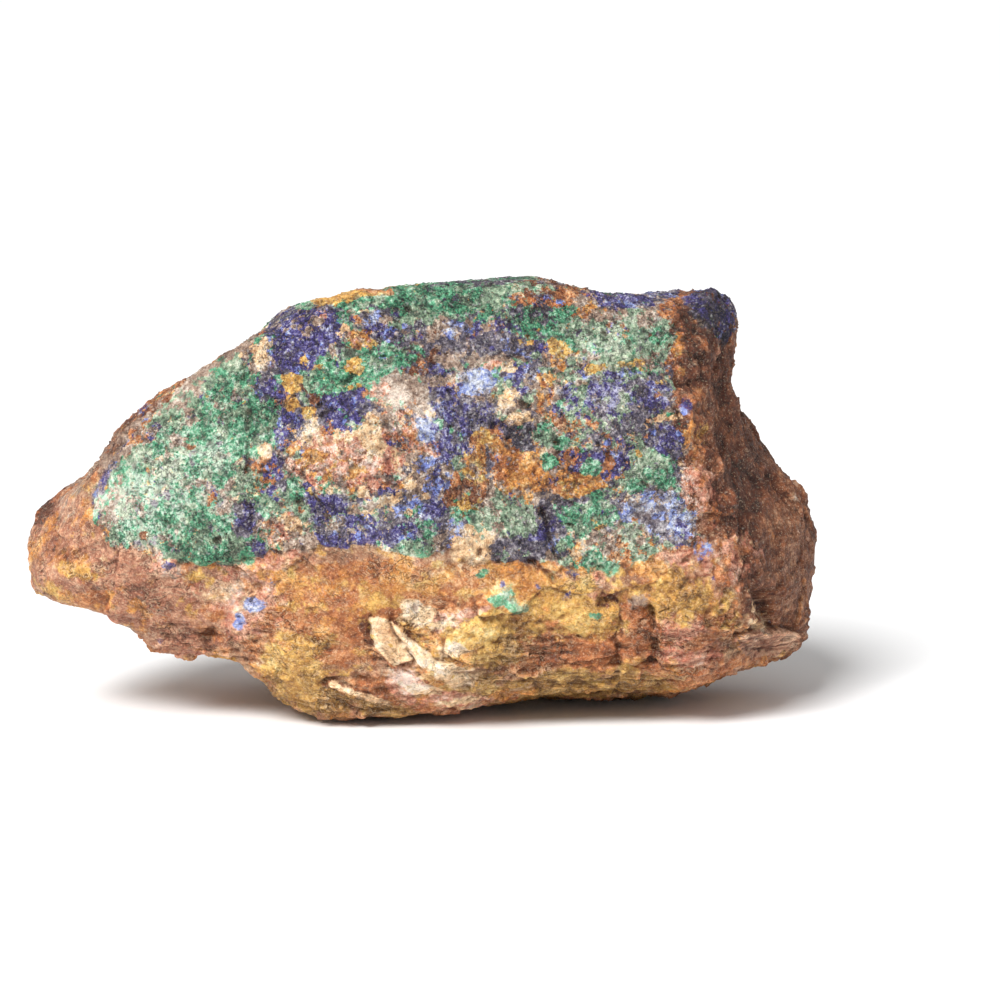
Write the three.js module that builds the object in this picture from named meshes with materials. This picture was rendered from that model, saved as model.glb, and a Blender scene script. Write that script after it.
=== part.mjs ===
// A hand specimen of malachite and azurite crust on an iron-stained matrix.
// The rock formed as one piece, so it is one solid.
//
// Row frame, millimetres: +Z up, the crusted face looks along -Y, the long
// axis runs along X. The origin is under the middle of the rock, on the
// surface that it rests on.
import * as THREE from "three";
import { mergeVertices } from "three/addons/utils/BufferGeometryUtils.js";
import { ImprovedNoise } from "three/addons/math/ImprovedNoise.js";

// ---- driving dimensions ----------------------------------------------------
const LENGTH = 180.0; // overall, along X
const DETAIL = 17; // subdivisions of the starting icosahedron's edges
const HEART = 46.5; // height above the foot of the point that the radii run from
const STRETCH = new THREE.Vector3(90, 50, 50); // spreads the vertices evenly
const ROUND = 26; // how tight the edges between two cleavage planes are
const CHIPS = 70; // small fracture faces struck off the large planes
const TILT = THREE.MathUtils.degToRad(8); // lean of the outline's plane
const REACH = 20; // how far in depth a notch of the outline carries
const SHY = 0.6; // how far inside the outline the rest of the rock keeps
const SPREAD = 9; // passes that even out the trim away from the outline

// ---- cleavage planes: outward normal, distance from the heart ---------------
// Planes that share a name meet in a reentrant edge: the outer one counts.
const PLANES = [
  // the crusted face, and the plain stone under it
  [-0.02, -0.975, 0.2, 43],
  [-0.36, -0.92, 0.14, 55],
  [0.0, -0.78, 0.62, 53],
  [0.1, -0.97, -0.2, 45],
  [-0.12, -0.86, -0.5, 47],
  [-0.5, -0.8, -0.34, 62],
  // lower right shoulder of the front
  [0.5, -0.83, -0.22, 61],
  // right end
  [0.86, -0.5, 0.03, 71.0, "ridge"],
  [0.8, -0.45, 0.38, 71.5, "ridge"],
  [0.83, -0.1, 0.55, 79],
  [0.985, 0.1, -0.12, 89],
  [0.76, 0.64, -0.05, 89],
  [0.6, 0.42, 0.68, 80],
  // top and left slope
  [0.02, 0.1, 1.0, 51],
  [-0.56, -0.02, 0.83, 64],
  [-0.8, 0.1, 0.59, 83],
  [-0.5, 0.6, 0.62, 80],
  // left nose
  [-0.985, -0.12, -0.14, 91],
  [-0.62, 0.78, 0.06, 76],
  [-0.8, 0.35, -0.48, 84],
  // underside
  [0.0, 0.0, -1.0, 53],
  [-0.3, 0.0, -0.955, 53],
  [-0.62, 0.1, -0.78, 64],
  [0.3, 0.06, -0.95, 61],
  [0.72, 0.05, -0.69, 77],
  [0.0, -0.55, -0.83, 58],
  // back
  [0.05, 0.98, 0.2, 49],
  [-0.2, 0.95, -0.24, 51],
  [0.36, 0.92, -0.15, 61],
  [0.1, 0.7, 0.71, 63],
  [-0.1, 0.6, -0.8, 63],
];

// ---- hollows and swellings -----------------------------------------------------
// Place on the front view from the heart (u right, v up), half sizes along and
// across, turn in degrees, height (below 0 for a hollow), and which way the
// stone faces there: "front", "right", "back", "top" or "left".
const RELIEF = [
  [-8, 10, 17, 20, -8, 3.0, "front"], // encrusted mound in the middle
  [24, 10, 17, 14, 0, -1.6, "front"], // rusty flat beside it
  [-16, -31, 26, 15, -8, 3.4, "front"], // swelling low on the front
  [30, -43, 22, 6, 6, -3.0, "front"], // bedding undercut
  [45, -27, 6, 14, 12, -2.0, "front"], // cleft beside the right shoulder
  [57, -20, 15, 14, 0, 2.6, "front"],
  [-62, 0, 15, 20, -20, 1.6, "front"], // green patch
  [-37, 12, 5, 26, -5, -0.9, "front"], // seam at the patch's edge
  [64, 27, 5, 16, 0, -2.8, "right"], // scooped fracture
  [77.5, -25.5, 6, 7.5, 10, -3.2, "right"], // pocket with loose bedding
  [83, 5, 6, 12, -20, 2.0, "right"],
  [-20, 5, 22, 16, 20, -3.5, "back"],
  [38, -8, 16, 20, -15, 3.0, "back"],
  [5, 30, 20, 9, 0, 2.5, "back"],
  [-45, -6, 12, 12, 0, -2.6, "back"],
];
const FACING = {
  front: new THREE.Vector3(0, -1, 0),
  back: new THREE.Vector3(0, 1, 0),
  right: new THREE.Vector3(0.85, -0.5, 0.1),
  top: new THREE.Vector3(0, 0, 1),
  left: new THREE.Vector3(-1, 0, 0),
};

// ---- the rock's outline as seen from the front --------------------------------
// Radii from the heart, one every 360 / n degrees, counter-clockwise from +X.
const OUTLINE = [
  84.5, 83.1, 78.0, 78.8, 78.2, 78.9, 71.2, 71.1, 74.9, 80.5, 80.0, 90.7,
  87.3, 76.2, 74.3, 66.7, 63.5, 51.6, 52.8, 56.1, 58.9, 58.3, 56.6, 55.7,
  52.1, 51.6, 50.8, 50.2, 47.5, 46.3, 45.2, 49.1, 49.8, 51.4, 45.8, 46.8,
  47.2, 45.6, 47.7, 49.5, 53.6, 58.6, 57.0, 54.7, 50.5, 53.9, 57.5, 54.8,
  58.4, 60.3, 60.3, 60.5, 64.9, 68.8, 67.6, 75.0, 75.8, 75.2, 74.5, 83.3,
  90.7, 91.0, 93.6, 89.8, 92.4, 95.2, 76.3, 75.2, 69.4, 70.0, 78.1, 77.6,
  51.7, 48.5, 51.6, 56.5, 59.9, 55.7, 55.5, 58.3, 55.6, 53.7, 54.1, 52.3,
  51.0, 47.0, 44.4, 46.5, 46.6, 49.6, 56.1, 54.9, 49.3, 50.0, 43.6, 43.1,
  43.5, 48.0, 54.4, 51.6, 53.9, 56.1, 55.8, 62.3, 61.7, 63.9, 61.4, 79.8,
  84.3, 80.7, 70.7, 83.5, 93.1, 97.0, 95.0, 90.9, 91.5, 90.7, 90.8, 92.6,
];

const noise = new ImprovedNoise();
const fbm = (x, y, z, octaves, gain = 0.5) => {
  let sum = 0,
    amp = 1;
  for (let i = 0; i < octaves; i++) {
    sum += amp * noise.noise(x, y, z);
    x = x * 2.03 + 17.1;
    y = y * 2.01 + 5.7;
    z = z * 2.05 + 9.3;
    amp *= gain;
  }
  return sum;
};

// Distance from the heart to the surface along a direction.
function reach(d) {
  let s = 0;
  const shared = {};
  for (const [nx, ny, nz, h, edge] of PLANES) {
    const l = Math.hypot(nx, ny, nz);
    const c = Math.max(0, (nx * d.x + ny * d.y + nz * d.z) / (l * h));
    if (edge) shared[edge] = Math.min(shared[edge] ?? Infinity, c);
    else s += Math.pow(c, ROUND);
  }
  for (const c of Object.values(shared)) s += Math.pow(c, ROUND);
  return Math.pow(s, -1 / ROUND);
}

// A repeatable number from 0 to 1.
const pick = (i, k) => {
  const s = Math.sin(i * 127.1 + k * 311.7) * 43758.5453;
  return s - Math.floor(s);
};

// Fracture faces: each shaves a cap off the rock, leaning a little off its normal.
function strike() {
  const golden = Math.PI * (3 - Math.sqrt(5));
  const made = [];
  for (let i = 0; i < CHIPS; i++) {
    const z = 1 - (2 * (i + 0.5)) / CHIPS;
    const ring = Math.sqrt(1 - z * z);
    const a = i * golden;
    const d = new THREE.Vector3(ring * Math.cos(a), ring * Math.sin(a), z)
      .multiply(STRETCH)
      .normalize();
    const at = d.clone().multiplyScalar(reach(d));
    const n = new THREE.Vector3();
    for (const [nx, ny, nz, h] of PLANES) {
      const l = Math.hypot(nx, ny, nz);
      const c = (nx * at.x + ny * at.y + nz * at.z) / (l * h);
      if (c > 0)
        n.addScaledVector(new THREE.Vector3(nx, ny, nz).divideScalar(l * h), Math.pow(c, ROUND - 1));
    }
    n.normalize();
    const lean = n.y < -0.75 ? 0.13 : 0.3;
    n.x += lean * (pick(i, 1) - 0.5) * 2;
    n.y += lean * (pick(i, 2) - 0.5) * 2;
    n.z += lean * (pick(i, 3) - 0.5) * 2;
    n.normalize();
    const shave = (n.y < -0.75 ? 0.3 : 0.8) + (n.y < -0.75 ? 1.0 : 2.4) * pick(i, 4);
    made.push([n.x, n.y, n.z, n.dot(at) - shave]);
  }
  PLANES.push(...made);
}

// Scales the rock in the outline's plane until its outline has the radii above.
function trim(points, index) {
  const n = OUTLINE.length;
  const c = Math.cos(TILT),
    s = Math.sin(TILT);
  const flat = points.map((q) => {
    const v = q.z * c + q.y * s;
    return { u: q.x, v, w: q.y * c - q.z * s, r: Math.hypot(q.x, v), t: (Math.atan2(v, q.x) / (2 * Math.PI) + 1) % 1 };
  });
  // the outline that the planes leave, smoothed over neighbouring angles
  const fine = 720;
  const edge = new Array(fine).fill(0);
  for (const q of flat) {
    const k = Math.floor(q.t * fine);
    for (let j = -9; j <= 9; j++) {
      const m = (k + j + fine) % fine;
      edge[m] = Math.max(edge[m], q.r * (1 - 0.00035 * j * j));
    }
  }
  const at = (list, t) => {
    const x = t * list.length,
      i = Math.floor(x) % list.length,
      f = x - Math.floor(x);
    return list[i] * (1 - f) + list[(i + 1) % list.length] * f;
  };
  const ratio = OUTLINE.map((r, i) => r / at(edge, i / n));
  const broad = ratio.map((_, i) => {
    let sum = 0,
      all = 0;
    for (let j = -12; j <= 12; j++) {
      const w = Math.exp((-j * j) / 50);
      sum += w * ratio[(i + j + n) % n];
      all += w;
    }
    return sum / all;
  });
  // how deep the rock's edge lies at each angle: a notch stays close to that depth,
  // and elsewhere the rock keeps inside the outline's smooth inner envelope
  const rough = new Array(n).fill(0);
  for (let i = 0; i < n; i++) {
    let sum = 0,
      all = 0;
    for (const q of flat) {
      const turn = Math.abs(((q.t - i / n + 1.5) % 1) - 0.5);
      if (turn > 0.015) continue;
      const w = Math.pow(q.r / at(edge, q.t), 60);
      sum += w * q.w;
      all += w;
    }
    rough[i] = all ? sum / all : 0;
  }
  const around = (list, i, half, f) => {
    let sum = 0,
      all = 0;
    for (let j = -half; j <= half; j++) {
      const w = Math.exp((-3 * j * j) / (half * half));
      sum += w * f(list[(i + j + n) % n]);
      all += w;
    }
    return sum / all;
  };
  const rim = rough.map((_, i) => around(rough, i, 5, (x) => x));
  const inner = OUTLINE.map((_, i) => Math.pow(around(OUTLINE, i, 4, (x) => Math.pow(x, -24)), -1 / 24) - SHY);
  flat.forEach((q, i) => {
    const deep = (q.w - at(rim, q.t)) / REACH;
    const level = Math.exp(-deep * deep);
    const near = THREE.MathUtils.smoothstep(q.r / at(edge, q.t), 0.55, 0.97) * level;
    let k = at(broad, q.t) * (1 - near) + at(ratio, q.t) * near;
    const wave = 1.6 * fbm(q.u / 19 + 4.2, q.v / 19 + 8.8, q.w / 19 + 2.6, 2);
    const limit = at(inner, q.t) + wave;
    k = Math.min(k, (limit + (at(OUTLINE, q.t) - limit) * level) / q.r, at(OUTLINE, q.t) / q.r);
    const u = q.u * k,
      v = q.v * k;
    const to = new THREE.Vector3(u, v * s + q.w * c, v * c - q.w * s);
    q.move = to.sub(points[i]);
    q.hold = 0.8 * level * THREE.MathUtils.smoothstep(q.r / at(edge, q.t), 0.7, 1.0);
  });
  // away from the outline the trim spreads evenly over the stone
  let moves = flat.map((q) => q.move);
  const beside = neighbours(points.length, index);
  for (let pass = 0; pass < SPREAD; pass++) {
    moves = moves.map((m, i) => {
      const mean = new THREE.Vector3();
      for (const j of beside[i]) mean.addScaledVector(moves[j], 1 / beside[i].length);
      return mean.lerp(m, flat[i].hold);
    });
  }
  points.forEach((q, i) => q.add(moves[i]));
}

function neighbours(count, index) {
  const sets = Array.from({ length: count }, () => new Set());
  for (let i = 0; i < index.count; i += 3) {
    const [a, b, c] = [index.getX(i), index.getX(i + 1), index.getX(i + 2)];
    sets[a].add(b).add(c);
    sets[b].add(a).add(c);
    sets[c].add(a).add(b);
  }
  return sets.map((s) => [...s]);
}

// Raises the swellings and sinks the hollows along the stone's own normals.
function carve(g, points) {
  points.forEach((q, i) => g.attributes.position.setXYZ(i, q.x, q.y, q.z));
  g.computeVertexNormals();
  const n = new THREE.Vector3();
  points.forEach((q, i) => {
    n.fromBufferAttribute(g.attributes.normal, i);
    let rise = 0;
    for (const [u, v, along, across, turn, height, way] of RELIEF) {
      const facing = THREE.MathUtils.smoothstep(n.dot(FACING[way]), 0.15, 0.6);
      if (!facing) continue;
      const a = THREE.MathUtils.degToRad(turn);
      const x = q.x - u,
        z = q.z - v;
      const e = ((x * Math.cos(a) + z * Math.sin(a)) / along) ** 2 + ((z * Math.cos(a) - x * Math.sin(a)) / across) ** 2;
      rise += height * facing * Math.exp(-e * e * 0.7);
    }
    q.addScaledVector(n, rise);
  });
}

function rock() {
  const g = new THREE.IcosahedronGeometry(1, DETAIL);
  g.deleteAttribute("normal");
  g.deleteAttribute("uv");
  const made = mergeVertices(g, 1e-5);
  const p = made.attributes.position;
  const v = new THREE.Vector3();
  const points = [];
  strike();
  for (let i = 0; i < p.count; i++) {
    v.fromBufferAttribute(p, i).multiply(STRETCH).normalize();
    let r = reach(v);
    const q = v.clone().multiplyScalar(r);
    r *= 1 + 0.05 * fbm(q.x / 42 + 3.1, q.y / 42 + 7.7, q.z / 42 + 1.3, 2);
    r += 1.5 * fbm(q.x / 15 + 11.3, q.y / 15 + 2.9, q.z / 15 + 5.1, 3);
    points.push(v.clone().multiplyScalar(r));
  }
  trim(points, made.index);
  carve(made, points);
  // the foot: the lowest stone, worn flat
  points.forEach((q, i) => p.setXYZ(i, q.x, q.y, Math.max(q.z, -HEART)));
  // true length, standing on the foot, middle of the plan over the origin
  made.computeBoundingBox();
  const { min, max } = made.boundingBox;
  const k = LENGTH / (max.x - min.x);
  made.translate(-(min.x + max.x) / 2, -(min.y + max.y) / 2, HEART);
  made.scale(k, k, k);
  return made;
}

const geometry = rock();
geometry.computeVertexNormals();

const specimen = new THREE.Mesh(
  geometry,
  new THREE.MeshStandardMaterial({ color: 0x8c6a4a, roughness: 0.85, metalness: 0 }),
);
specimen.name = "malachite_rock";

const group = new THREE.Group();
group.add(specimen);
export default group;
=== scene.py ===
import math
import time

import bmesh
import bpy
import numpy as np
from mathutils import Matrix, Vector
from mathutils.bvhtree import BVHTree


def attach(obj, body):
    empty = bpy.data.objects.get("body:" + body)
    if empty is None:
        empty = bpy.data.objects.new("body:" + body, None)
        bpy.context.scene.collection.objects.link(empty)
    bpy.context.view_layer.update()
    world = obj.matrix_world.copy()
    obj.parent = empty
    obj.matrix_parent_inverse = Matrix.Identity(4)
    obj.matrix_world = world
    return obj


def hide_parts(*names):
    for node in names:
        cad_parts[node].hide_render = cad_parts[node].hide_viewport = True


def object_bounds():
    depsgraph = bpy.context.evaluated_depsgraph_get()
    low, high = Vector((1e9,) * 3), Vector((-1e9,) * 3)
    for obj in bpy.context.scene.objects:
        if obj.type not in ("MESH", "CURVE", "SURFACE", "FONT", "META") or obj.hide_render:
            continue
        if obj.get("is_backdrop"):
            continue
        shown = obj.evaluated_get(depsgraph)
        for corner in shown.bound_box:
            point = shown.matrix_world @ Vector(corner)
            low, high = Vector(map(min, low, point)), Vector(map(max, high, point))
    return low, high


T0 = time.time()
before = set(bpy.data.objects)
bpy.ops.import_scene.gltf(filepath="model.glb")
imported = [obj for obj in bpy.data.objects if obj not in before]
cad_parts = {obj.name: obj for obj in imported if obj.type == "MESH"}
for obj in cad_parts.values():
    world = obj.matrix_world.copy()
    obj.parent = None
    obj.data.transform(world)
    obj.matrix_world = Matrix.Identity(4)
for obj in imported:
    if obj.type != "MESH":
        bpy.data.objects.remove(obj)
cad_low, cad_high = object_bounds()
ROCK = "malachite_rock"


def say(text):
    print("%6.1f s  %s" % (time.time() - T0, text))


# ------------------------------------------------------------------ front chart
# The front of the rock is mapped on a chart of 1000 x 1000 units, x to the right
# and y down, as seen from a point 630.5 mm in front of the heart of the rock and
# 8 degrees above it.  Everything that belongs to a place on the front is placed
# on this chart; it is turned into points of the rock once, here.
HEART = np.array([0.0001411, -0.0009855, 0.046274])
DIST = 0.63052
LEAN = math.radians(8.0)
BACK = np.array([0.0, -math.cos(LEAN), math.sin(LEAN)])
UP = np.array([0.0, math.sin(LEAN), math.cos(LEAN)])
EYE = HEART + BACK * DIST
FOCAL = 100.0 / 36.0 * 1000.0
CHART_X, CHART_Y = 430.0, 500.0
UNIT = DIST / FOCAL  # metres per chart unit at the heart


def chart(p):
    q = p - EYE
    depth = -(q @ BACK)
    return CHART_X + FOCAL * q[:, 0] / depth, CHART_Y - FOCAL * (q @ UP) / depth


def faces_eye(p, n):
    """1 where the surface squarely faces the chart's eye, below 0 where it is turned away."""
    q = EYE - p
    return (q * n).sum(1) / np.linalg.norm(q, axis=1)


# ------------------------------------------------------------------------ noise
def _mix(ix, iy, iz, seed):
    h = (ix * np.uint32(0x8DA6B343)) ^ (iy * np.uint32(0xD8163841)) ^ (iz * np.uint32(0xCB1AB31F))
    h = h + np.uint32((seed * 0x9E3779B9 + 0x7F4A7C15) & 0xFFFFFFFF)
    h ^= h >> np.uint32(15)
    h *= np.uint32(0x2C1B3C6D)
    h ^= h >> np.uint32(12)
    h *= np.uint32(0x297A2D39)
    h ^= h >> np.uint32(15)
    return h


def _unit(h):
    return (h & np.uint32(0xFFFFFF)).astype(np.float32) / np.float32(16777216.0)


def perlin(p, seed=0):
    p = p.astype(np.float32)
    base = np.floor(p)
    f = p - base
    i = base.astype(np.int64).astype(np.uint32)
    fade = f * f * f * (f * (f * 6 - 15) + 10)
    out = np.zeros(len(p), np.float32)
    for cx in (0, 1):
        wx = fade[:, 0] if cx else 1 - fade[:, 0]
        for cy in (0, 1):
            wy = wx * (fade[:, 1] if cy else 1 - fade[:, 1])
            for cz in (0, 1):
                w = wy * (fade[:, 2] if cz else 1 - fade[:, 2])
                h = _mix(i[:, 0] + np.uint32(cx), i[:, 1] + np.uint32(cy), i[:, 2] + np.uint32(cz), seed)
                gx = (h & np.uint32(1023)).astype(np.float32) / 511.5 - 1
                gy = ((h >> np.uint32(10)) & np.uint32(1023)).astype(np.float32) / 511.5 - 1
                gz = ((h >> np.uint32(20)) & np.uint32(1023)).astype(np.float32) / 511.5 - 1
                out += w * (gx * (f[:, 0] - cx) + gy * (f[:, 1] - cy) + gz * (f[:, 2] - cz))
    return out * np.float32(1.25)


TURN = np.array([[0.36, 0.48, -0.80], [-0.80, 0.60, 0.0], [0.48, 0.64, 0.60]])


def fbm(p, octaves=3, seed=0, gain=0.5):
    out, amp = np.zeros(len(p), np.float32), 1.0
    for k in range(octaves):
        p = p @ TURN
        out += np.float32(amp) * perlin(p, seed + 17 * k)
        p = p * 2.03 + 11.7
        amp *= gain
    return out


def ridged(p, octaves=3, seed=0, gain=0.5):
    out, amp = np.zeros(len(p), np.float32), 1.0
    for k in range(octaves):
        out += np.float32(amp) * (1 - 2 * np.abs(perlin(p @ TURN if k else p, seed + 29 * k)))
        p = p * 2.11 + 5.3
        amp *= gain
    return out


def worley(p, seed=0):
    """Distances to the two nearest feature points, the nearest one's number, and the offset from it."""
    p = p.astype(np.float32)
    base = np.floor(p)
    f = p - base
    i = base.astype(np.int64).astype(np.uint32)
    n = len(p)
    d1 = np.full(n, 9.0, np.float32)
    d2 = np.full(n, 9.0, np.float32)
    num = np.zeros(n, np.uint32)
    off = np.zeros((n, 3), np.float32)
    for cx in (-1, 0, 1):
        for cy in (-1, 0, 1):
            for cz in (-1, 0, 1):
                h = _mix(i[:, 0] + np.uint32(cx & 0xFFFFFFFF), i[:, 1] + np.uint32(cy & 0xFFFFFFFF), i[:, 2] + np.uint32(cz & 0xFFFFFFFF), seed)
                dx = f[:, 0] - (cx + (h & np.uint32(1023)).astype(np.float32) / 1023)
                dy = f[:, 1] - (cy + ((h >> np.uint32(10)) & np.uint32(1023)).astype(np.float32) / 1023)
                dz = f[:, 2] - (cz + ((h >> np.uint32(20)) & np.uint32(1023)).astype(np.float32) / 1023)
                d = dx * dx + dy * dy + dz * dz
                near = d < d1
                d2 = np.where(near, d1, np.minimum(d2, d))
                d1 = np.where(near, d, d1)
                num = np.where(near, h, num)
                off[near, 0] = dx[near]
                off[near, 1] = dy[near]
                off[near, 2] = dz[near]
    return np.sqrt(d1), np.sqrt(d2), num, off


def scramble(num, k):
    """A number from 0 to 1 for each feature point, another one for each k."""
    return _unit(_mix(num, num >> np.uint32(7), num >> np.uint32(13), 101 + k))


def facets(p, seed=0):
    """Flat, tilted fracture faces, one for each Worley cell."""
    _, _, num, off = worley(p, seed)
    tilt = np.stack([scramble(num, k) * 2 - 1 for k in (1, 2, 3)], 1)
    return (tilt * off).sum(1) + 0.35 * (scramble(num, 4) - 0.5)


def smooth(a, b, x):
    t = np.clip((x - a) / (b - a), 0, 1)
    return t * t * (3 - 2 * t)


# --------------------------------------------------------------- mesh utilities
def to_arrays(me):
    co = np.empty(len(me.vertices) * 3, np.float32)
    me.vertices.foreach_get("co", co)
    return co.reshape(-1, 3).astype(np.float64)


def edges_of(me):
    e = np.empty(len(me.edges) * 2, np.int32)
    me.edges.foreach_get("vertices", e)
    return e.reshape(-1, 2)


def relax(co, e, rounds, weight=None, step=0.5):
    n = len(co)
    a = np.concatenate([e[:, 0], e[:, 1]])
    b = np.concatenate([e[:, 1], e[:, 0]])
    count = np.bincount(a, minlength=n)[:, None]
    for _ in range(rounds):
        mean = np.stack([np.bincount(a, co[b, k], minlength=n) for k in range(3)], 1) / count
        w = step if weight is None else step * weight[:, None]
        co = co + (mean - co) * w
    return co


def normals_of(me):
    no = np.empty(len(me.vertices) * 3, np.float32)
    me.vertices.foreach_get("normal", no)
    return no.reshape(-1, 3).astype(np.float64)


def put(me, co):
    me.vertices.foreach_set("co", co.astype(np.float32).ravel())
    me.update()


def link(name, me):
    o = bpy.data.objects.new(name, me)
    bpy.context.scene.collection.objects.link(o)
    return o


# ------------------------------------------------------- features of the front
# All of these are on the front chart: places in chart units, heights in mm.
CRUST = [(98, 545), (96, 520), (102, 490), (112, 462), (127, 436), (142, 412), (168, 391), (200, 369),
         (236, 345), (266, 325), (284, 310), (300, 303), (340, 301), (385, 292), (410, 282), (430, 270), (480, 264),
         (530, 260), (560, 266), (600, 280), (650, 282), (678, 284), (675, 340), (676, 380), (681, 408),
         (690, 432), (690, 455), (698, 500), (696, 540), (640, 560), (600, 565), (585, 575), (560, 570), (530, 560),
         (480, 560), (455, 548), (440, 552), (400, 552), (380, 548), (330, 545), (300, 548), (270, 555),
         (240, 558), (225, 565), (205, 563), (180, 555), (150, 553), (120, 552)]
CORNER = [(688, 280), (718, 278), (740, 296), (736, 340), (717, 342), (706, 322), (693, 314)]
SIDE = [(680, 290), (730, 292), (760, 400), (820, 480), (818, 645), (790, 640), (760, 590), (735, 500),
        (709, 440), (706, 316)]
# the flat strip between the crust and the broken side
BEVEL = [(676, 290), (706, 294), (711, 360), (712, 440), (694, 446), (684, 400), (676, 350)]
# smooth, waxy parts of the matrix
CALM = [
    [(26, 500), (50, 478), (95, 480), (110, 560), (215, 565), (235, 600), (215, 632), (130, 650), (60, 615), (30, 600)],
    [(285, 575), (360, 558), (470, 562), (560, 575), (610, 585), (600, 610), (500, 612), (440, 600), (372, 612), (362, 690), (300, 700), (262, 650)],
]
# mounds and hollows: x, y, half width, half height, turn, height
MOUNDS = [
    (318, 500, 12, 34, -28, 0.9), (385, 515, 16, 22, 0, 0.8), (512, 399, 12, 10, 20, 0.8), (518, 417, 10, 8, 0, 0.7),
    (498, 422, 8, 6, 0, -0.9), (345, 350, 34, 22, 10, 0.8), (300, 347, 18, 16, 0, -0.8), (610, 350, 34, 20, 0, 0.7),
    (650, 360, 14, 22, 0, -0.7), (262, 451, 9, 9, 0, 0.9), (230, 455, 32, 22, 0, 0.5), (240, 516, 16, 14, 0, -0.6),
    (470, 545, 24, 18, 15, 1.3), (588, 530, 26, 20, 0, 0.6), (645, 513, 28, 14, 0, -0.5), (498, 598, 12, 9, 0, 0.7),
    (518, 609, 12, 7, 0, 0.7), (606, 600, 7, 10, 0, -1.6), (638, 602, 9, 8, 0, 0.9), (475, 630, 28, 14, 0, 0.8),
    (572, 614, 34, 18, 0, 0.8), (568, 655, 36, 13, 0, -1.4), (450, 666, 30, 18, -8, 0.9), (340, 600, 28, 18, 0, 0.7),
    (296, 655, 18, 16, 0, 0.9), (355, 694, 30, 10, 8, 1.0), (206, 637, 7, 9, 0, -2.0), (120, 610, 18, 12, 0, 0.7),
    (78, 578, 20, 14, 0, 0.9), (60, 512, 16, 14, 0, -0.6), (43, 511, 8, 13, 0, 0.8), (250, 600, 28, 30, 0, 0.6),
    (764, 604, 10, 20, -14, -3.2), (759, 626, 8, 7, 0, 1.3), (725, 552, 24, 34, 0, 0.8), (690, 600, 44, 16, 0, 0.7),
    (668, 690, 12, 7, 0, 0.9), (686, 685, 9, 7, 0, 0.8), (640, 678, 18, 16, 0, 0.7), (799, 515, 7, 26, 0, 0.8),
    (738, 450, 16, 52, -10, -1.6), (722, 365, 10, 40, 0, -1.2), (790, 520, 12, 50, -8, 0.8),
]
# grooves and cracks: half width, depth, points
GROOVES = [
    (2.2, 1.1, [(300, 467), (306, 484), (318, 500), (330, 517)]),
    (2.4, 1.5, [(543, 511), (549, 534), (556, 554)]),
    (2.6, 1.6, [(530, 560), (545, 570), (559, 586)]),
    (1.8, 1.3, [(370, 617), (368, 636), (376, 658), (392, 668)]),
    (1.1, 1.3, [(388, 624), (398, 640), (408, 652), (420, 664)]),
    (3.4, 2.6, [(650, 612), (652, 634), (656, 654)]),
    (2.2, 1.0, [(169, 626), (186, 632), (200, 640)]),
    (2.0, 0.9, [(166, 638), (188, 646), (207, 657)]),
    (2.2, 1.0, [(455, 674), (520, 680), (616, 690)]),
    (2.2, 1.2, [(240, 350), (246, 400), (250, 440), (246, 480), (252, 520)]),
    (2.0, 0.9, [(429, 388), (438, 402), (448, 420)]),
    (2.2, 1.0, [(443, 352), (485, 360), (527, 354)]),
    (2.4, 1.4, [(326, 682), (355, 676), (385, 690)]),
    (2.2, 1.0, [(616, 592), (622, 630), (618, 663)]),
    (5.0, -1.1, [(709, 300), (705, 380), (708, 440), (730, 500), (752, 560), (760, 586)]),
    (3.0, -0.7, [(684, 310), (686, 380), (690, 440), (704, 500)]),
    (1.4, 1.1, [(737, 634), (765, 640), (799, 638)]), (1.2, 0.9, [(736, 641), (765, 646), (797, 645)]), (1.2, 0.9, [(738, 648), (765, 652), (792, 652)]),
    (1.2, 0.9, [(752, 592), (757, 606), (762, 622)]), (1.2, 0.9, [(760, 590), (767, 606), (771, 626)]),
    (2.0, 0.8, [(736, 642), (765, 652), (796, 658)]),
]
# loose flakes: height of the high edge, way it rises (degrees, y down), outline
FLAKES = [
    (1.7, 20, [(369, 617), (379, 619), (388, 617), (391, 626), (397, 639), (406, 650), (413, 659), (404, 662), (394, 667), (386, 660), (380, 652), (375, 645), (371, 633)]),
    (1.7, 215, [(391, 622), (400, 628), (408, 637), (416, 644), (427, 652), (437, 662), (449, 664), (461, 668), (484, 671), (481, 678), (467, 685), (451, 679), (437, 676), (424, 668), (413, 657), (403, 647), (395, 634)]),
    (1.1, 270, [(327, 683), (339, 685), (357, 691), (379, 697), (391, 706), (384, 705), (365, 699), (344, 693), (329, 687)]),
    (0.8, 60, [(396, 668), (404, 671), (412, 670), (420, 680), (432, 688), (420, 692), (408, 697), (400, 692), (398, 682)]),
    (2.4, 270, [(734, 640), (752, 630), (780, 628), (800, 634), (798, 648), (780, 657), (745, 656)]),
]


def flake_at(X, Y, way, poly):
    """Distance inside a flake's edge, and how far towards its high edge, from -1 to 1."""
    c, s = math.cos(math.radians(way)), math.sin(math.radians(way))
    px = np.array(poly, float)
    t = (X - px[:, 0].mean()) * c + (Y - px[:, 1].mean()) * s
    reach = np.abs((px - px.mean(0)) @ np.array([c, s])).max()
    return inside(X, Y, poly), np.clip(t / reach, -1, 1)


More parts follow.
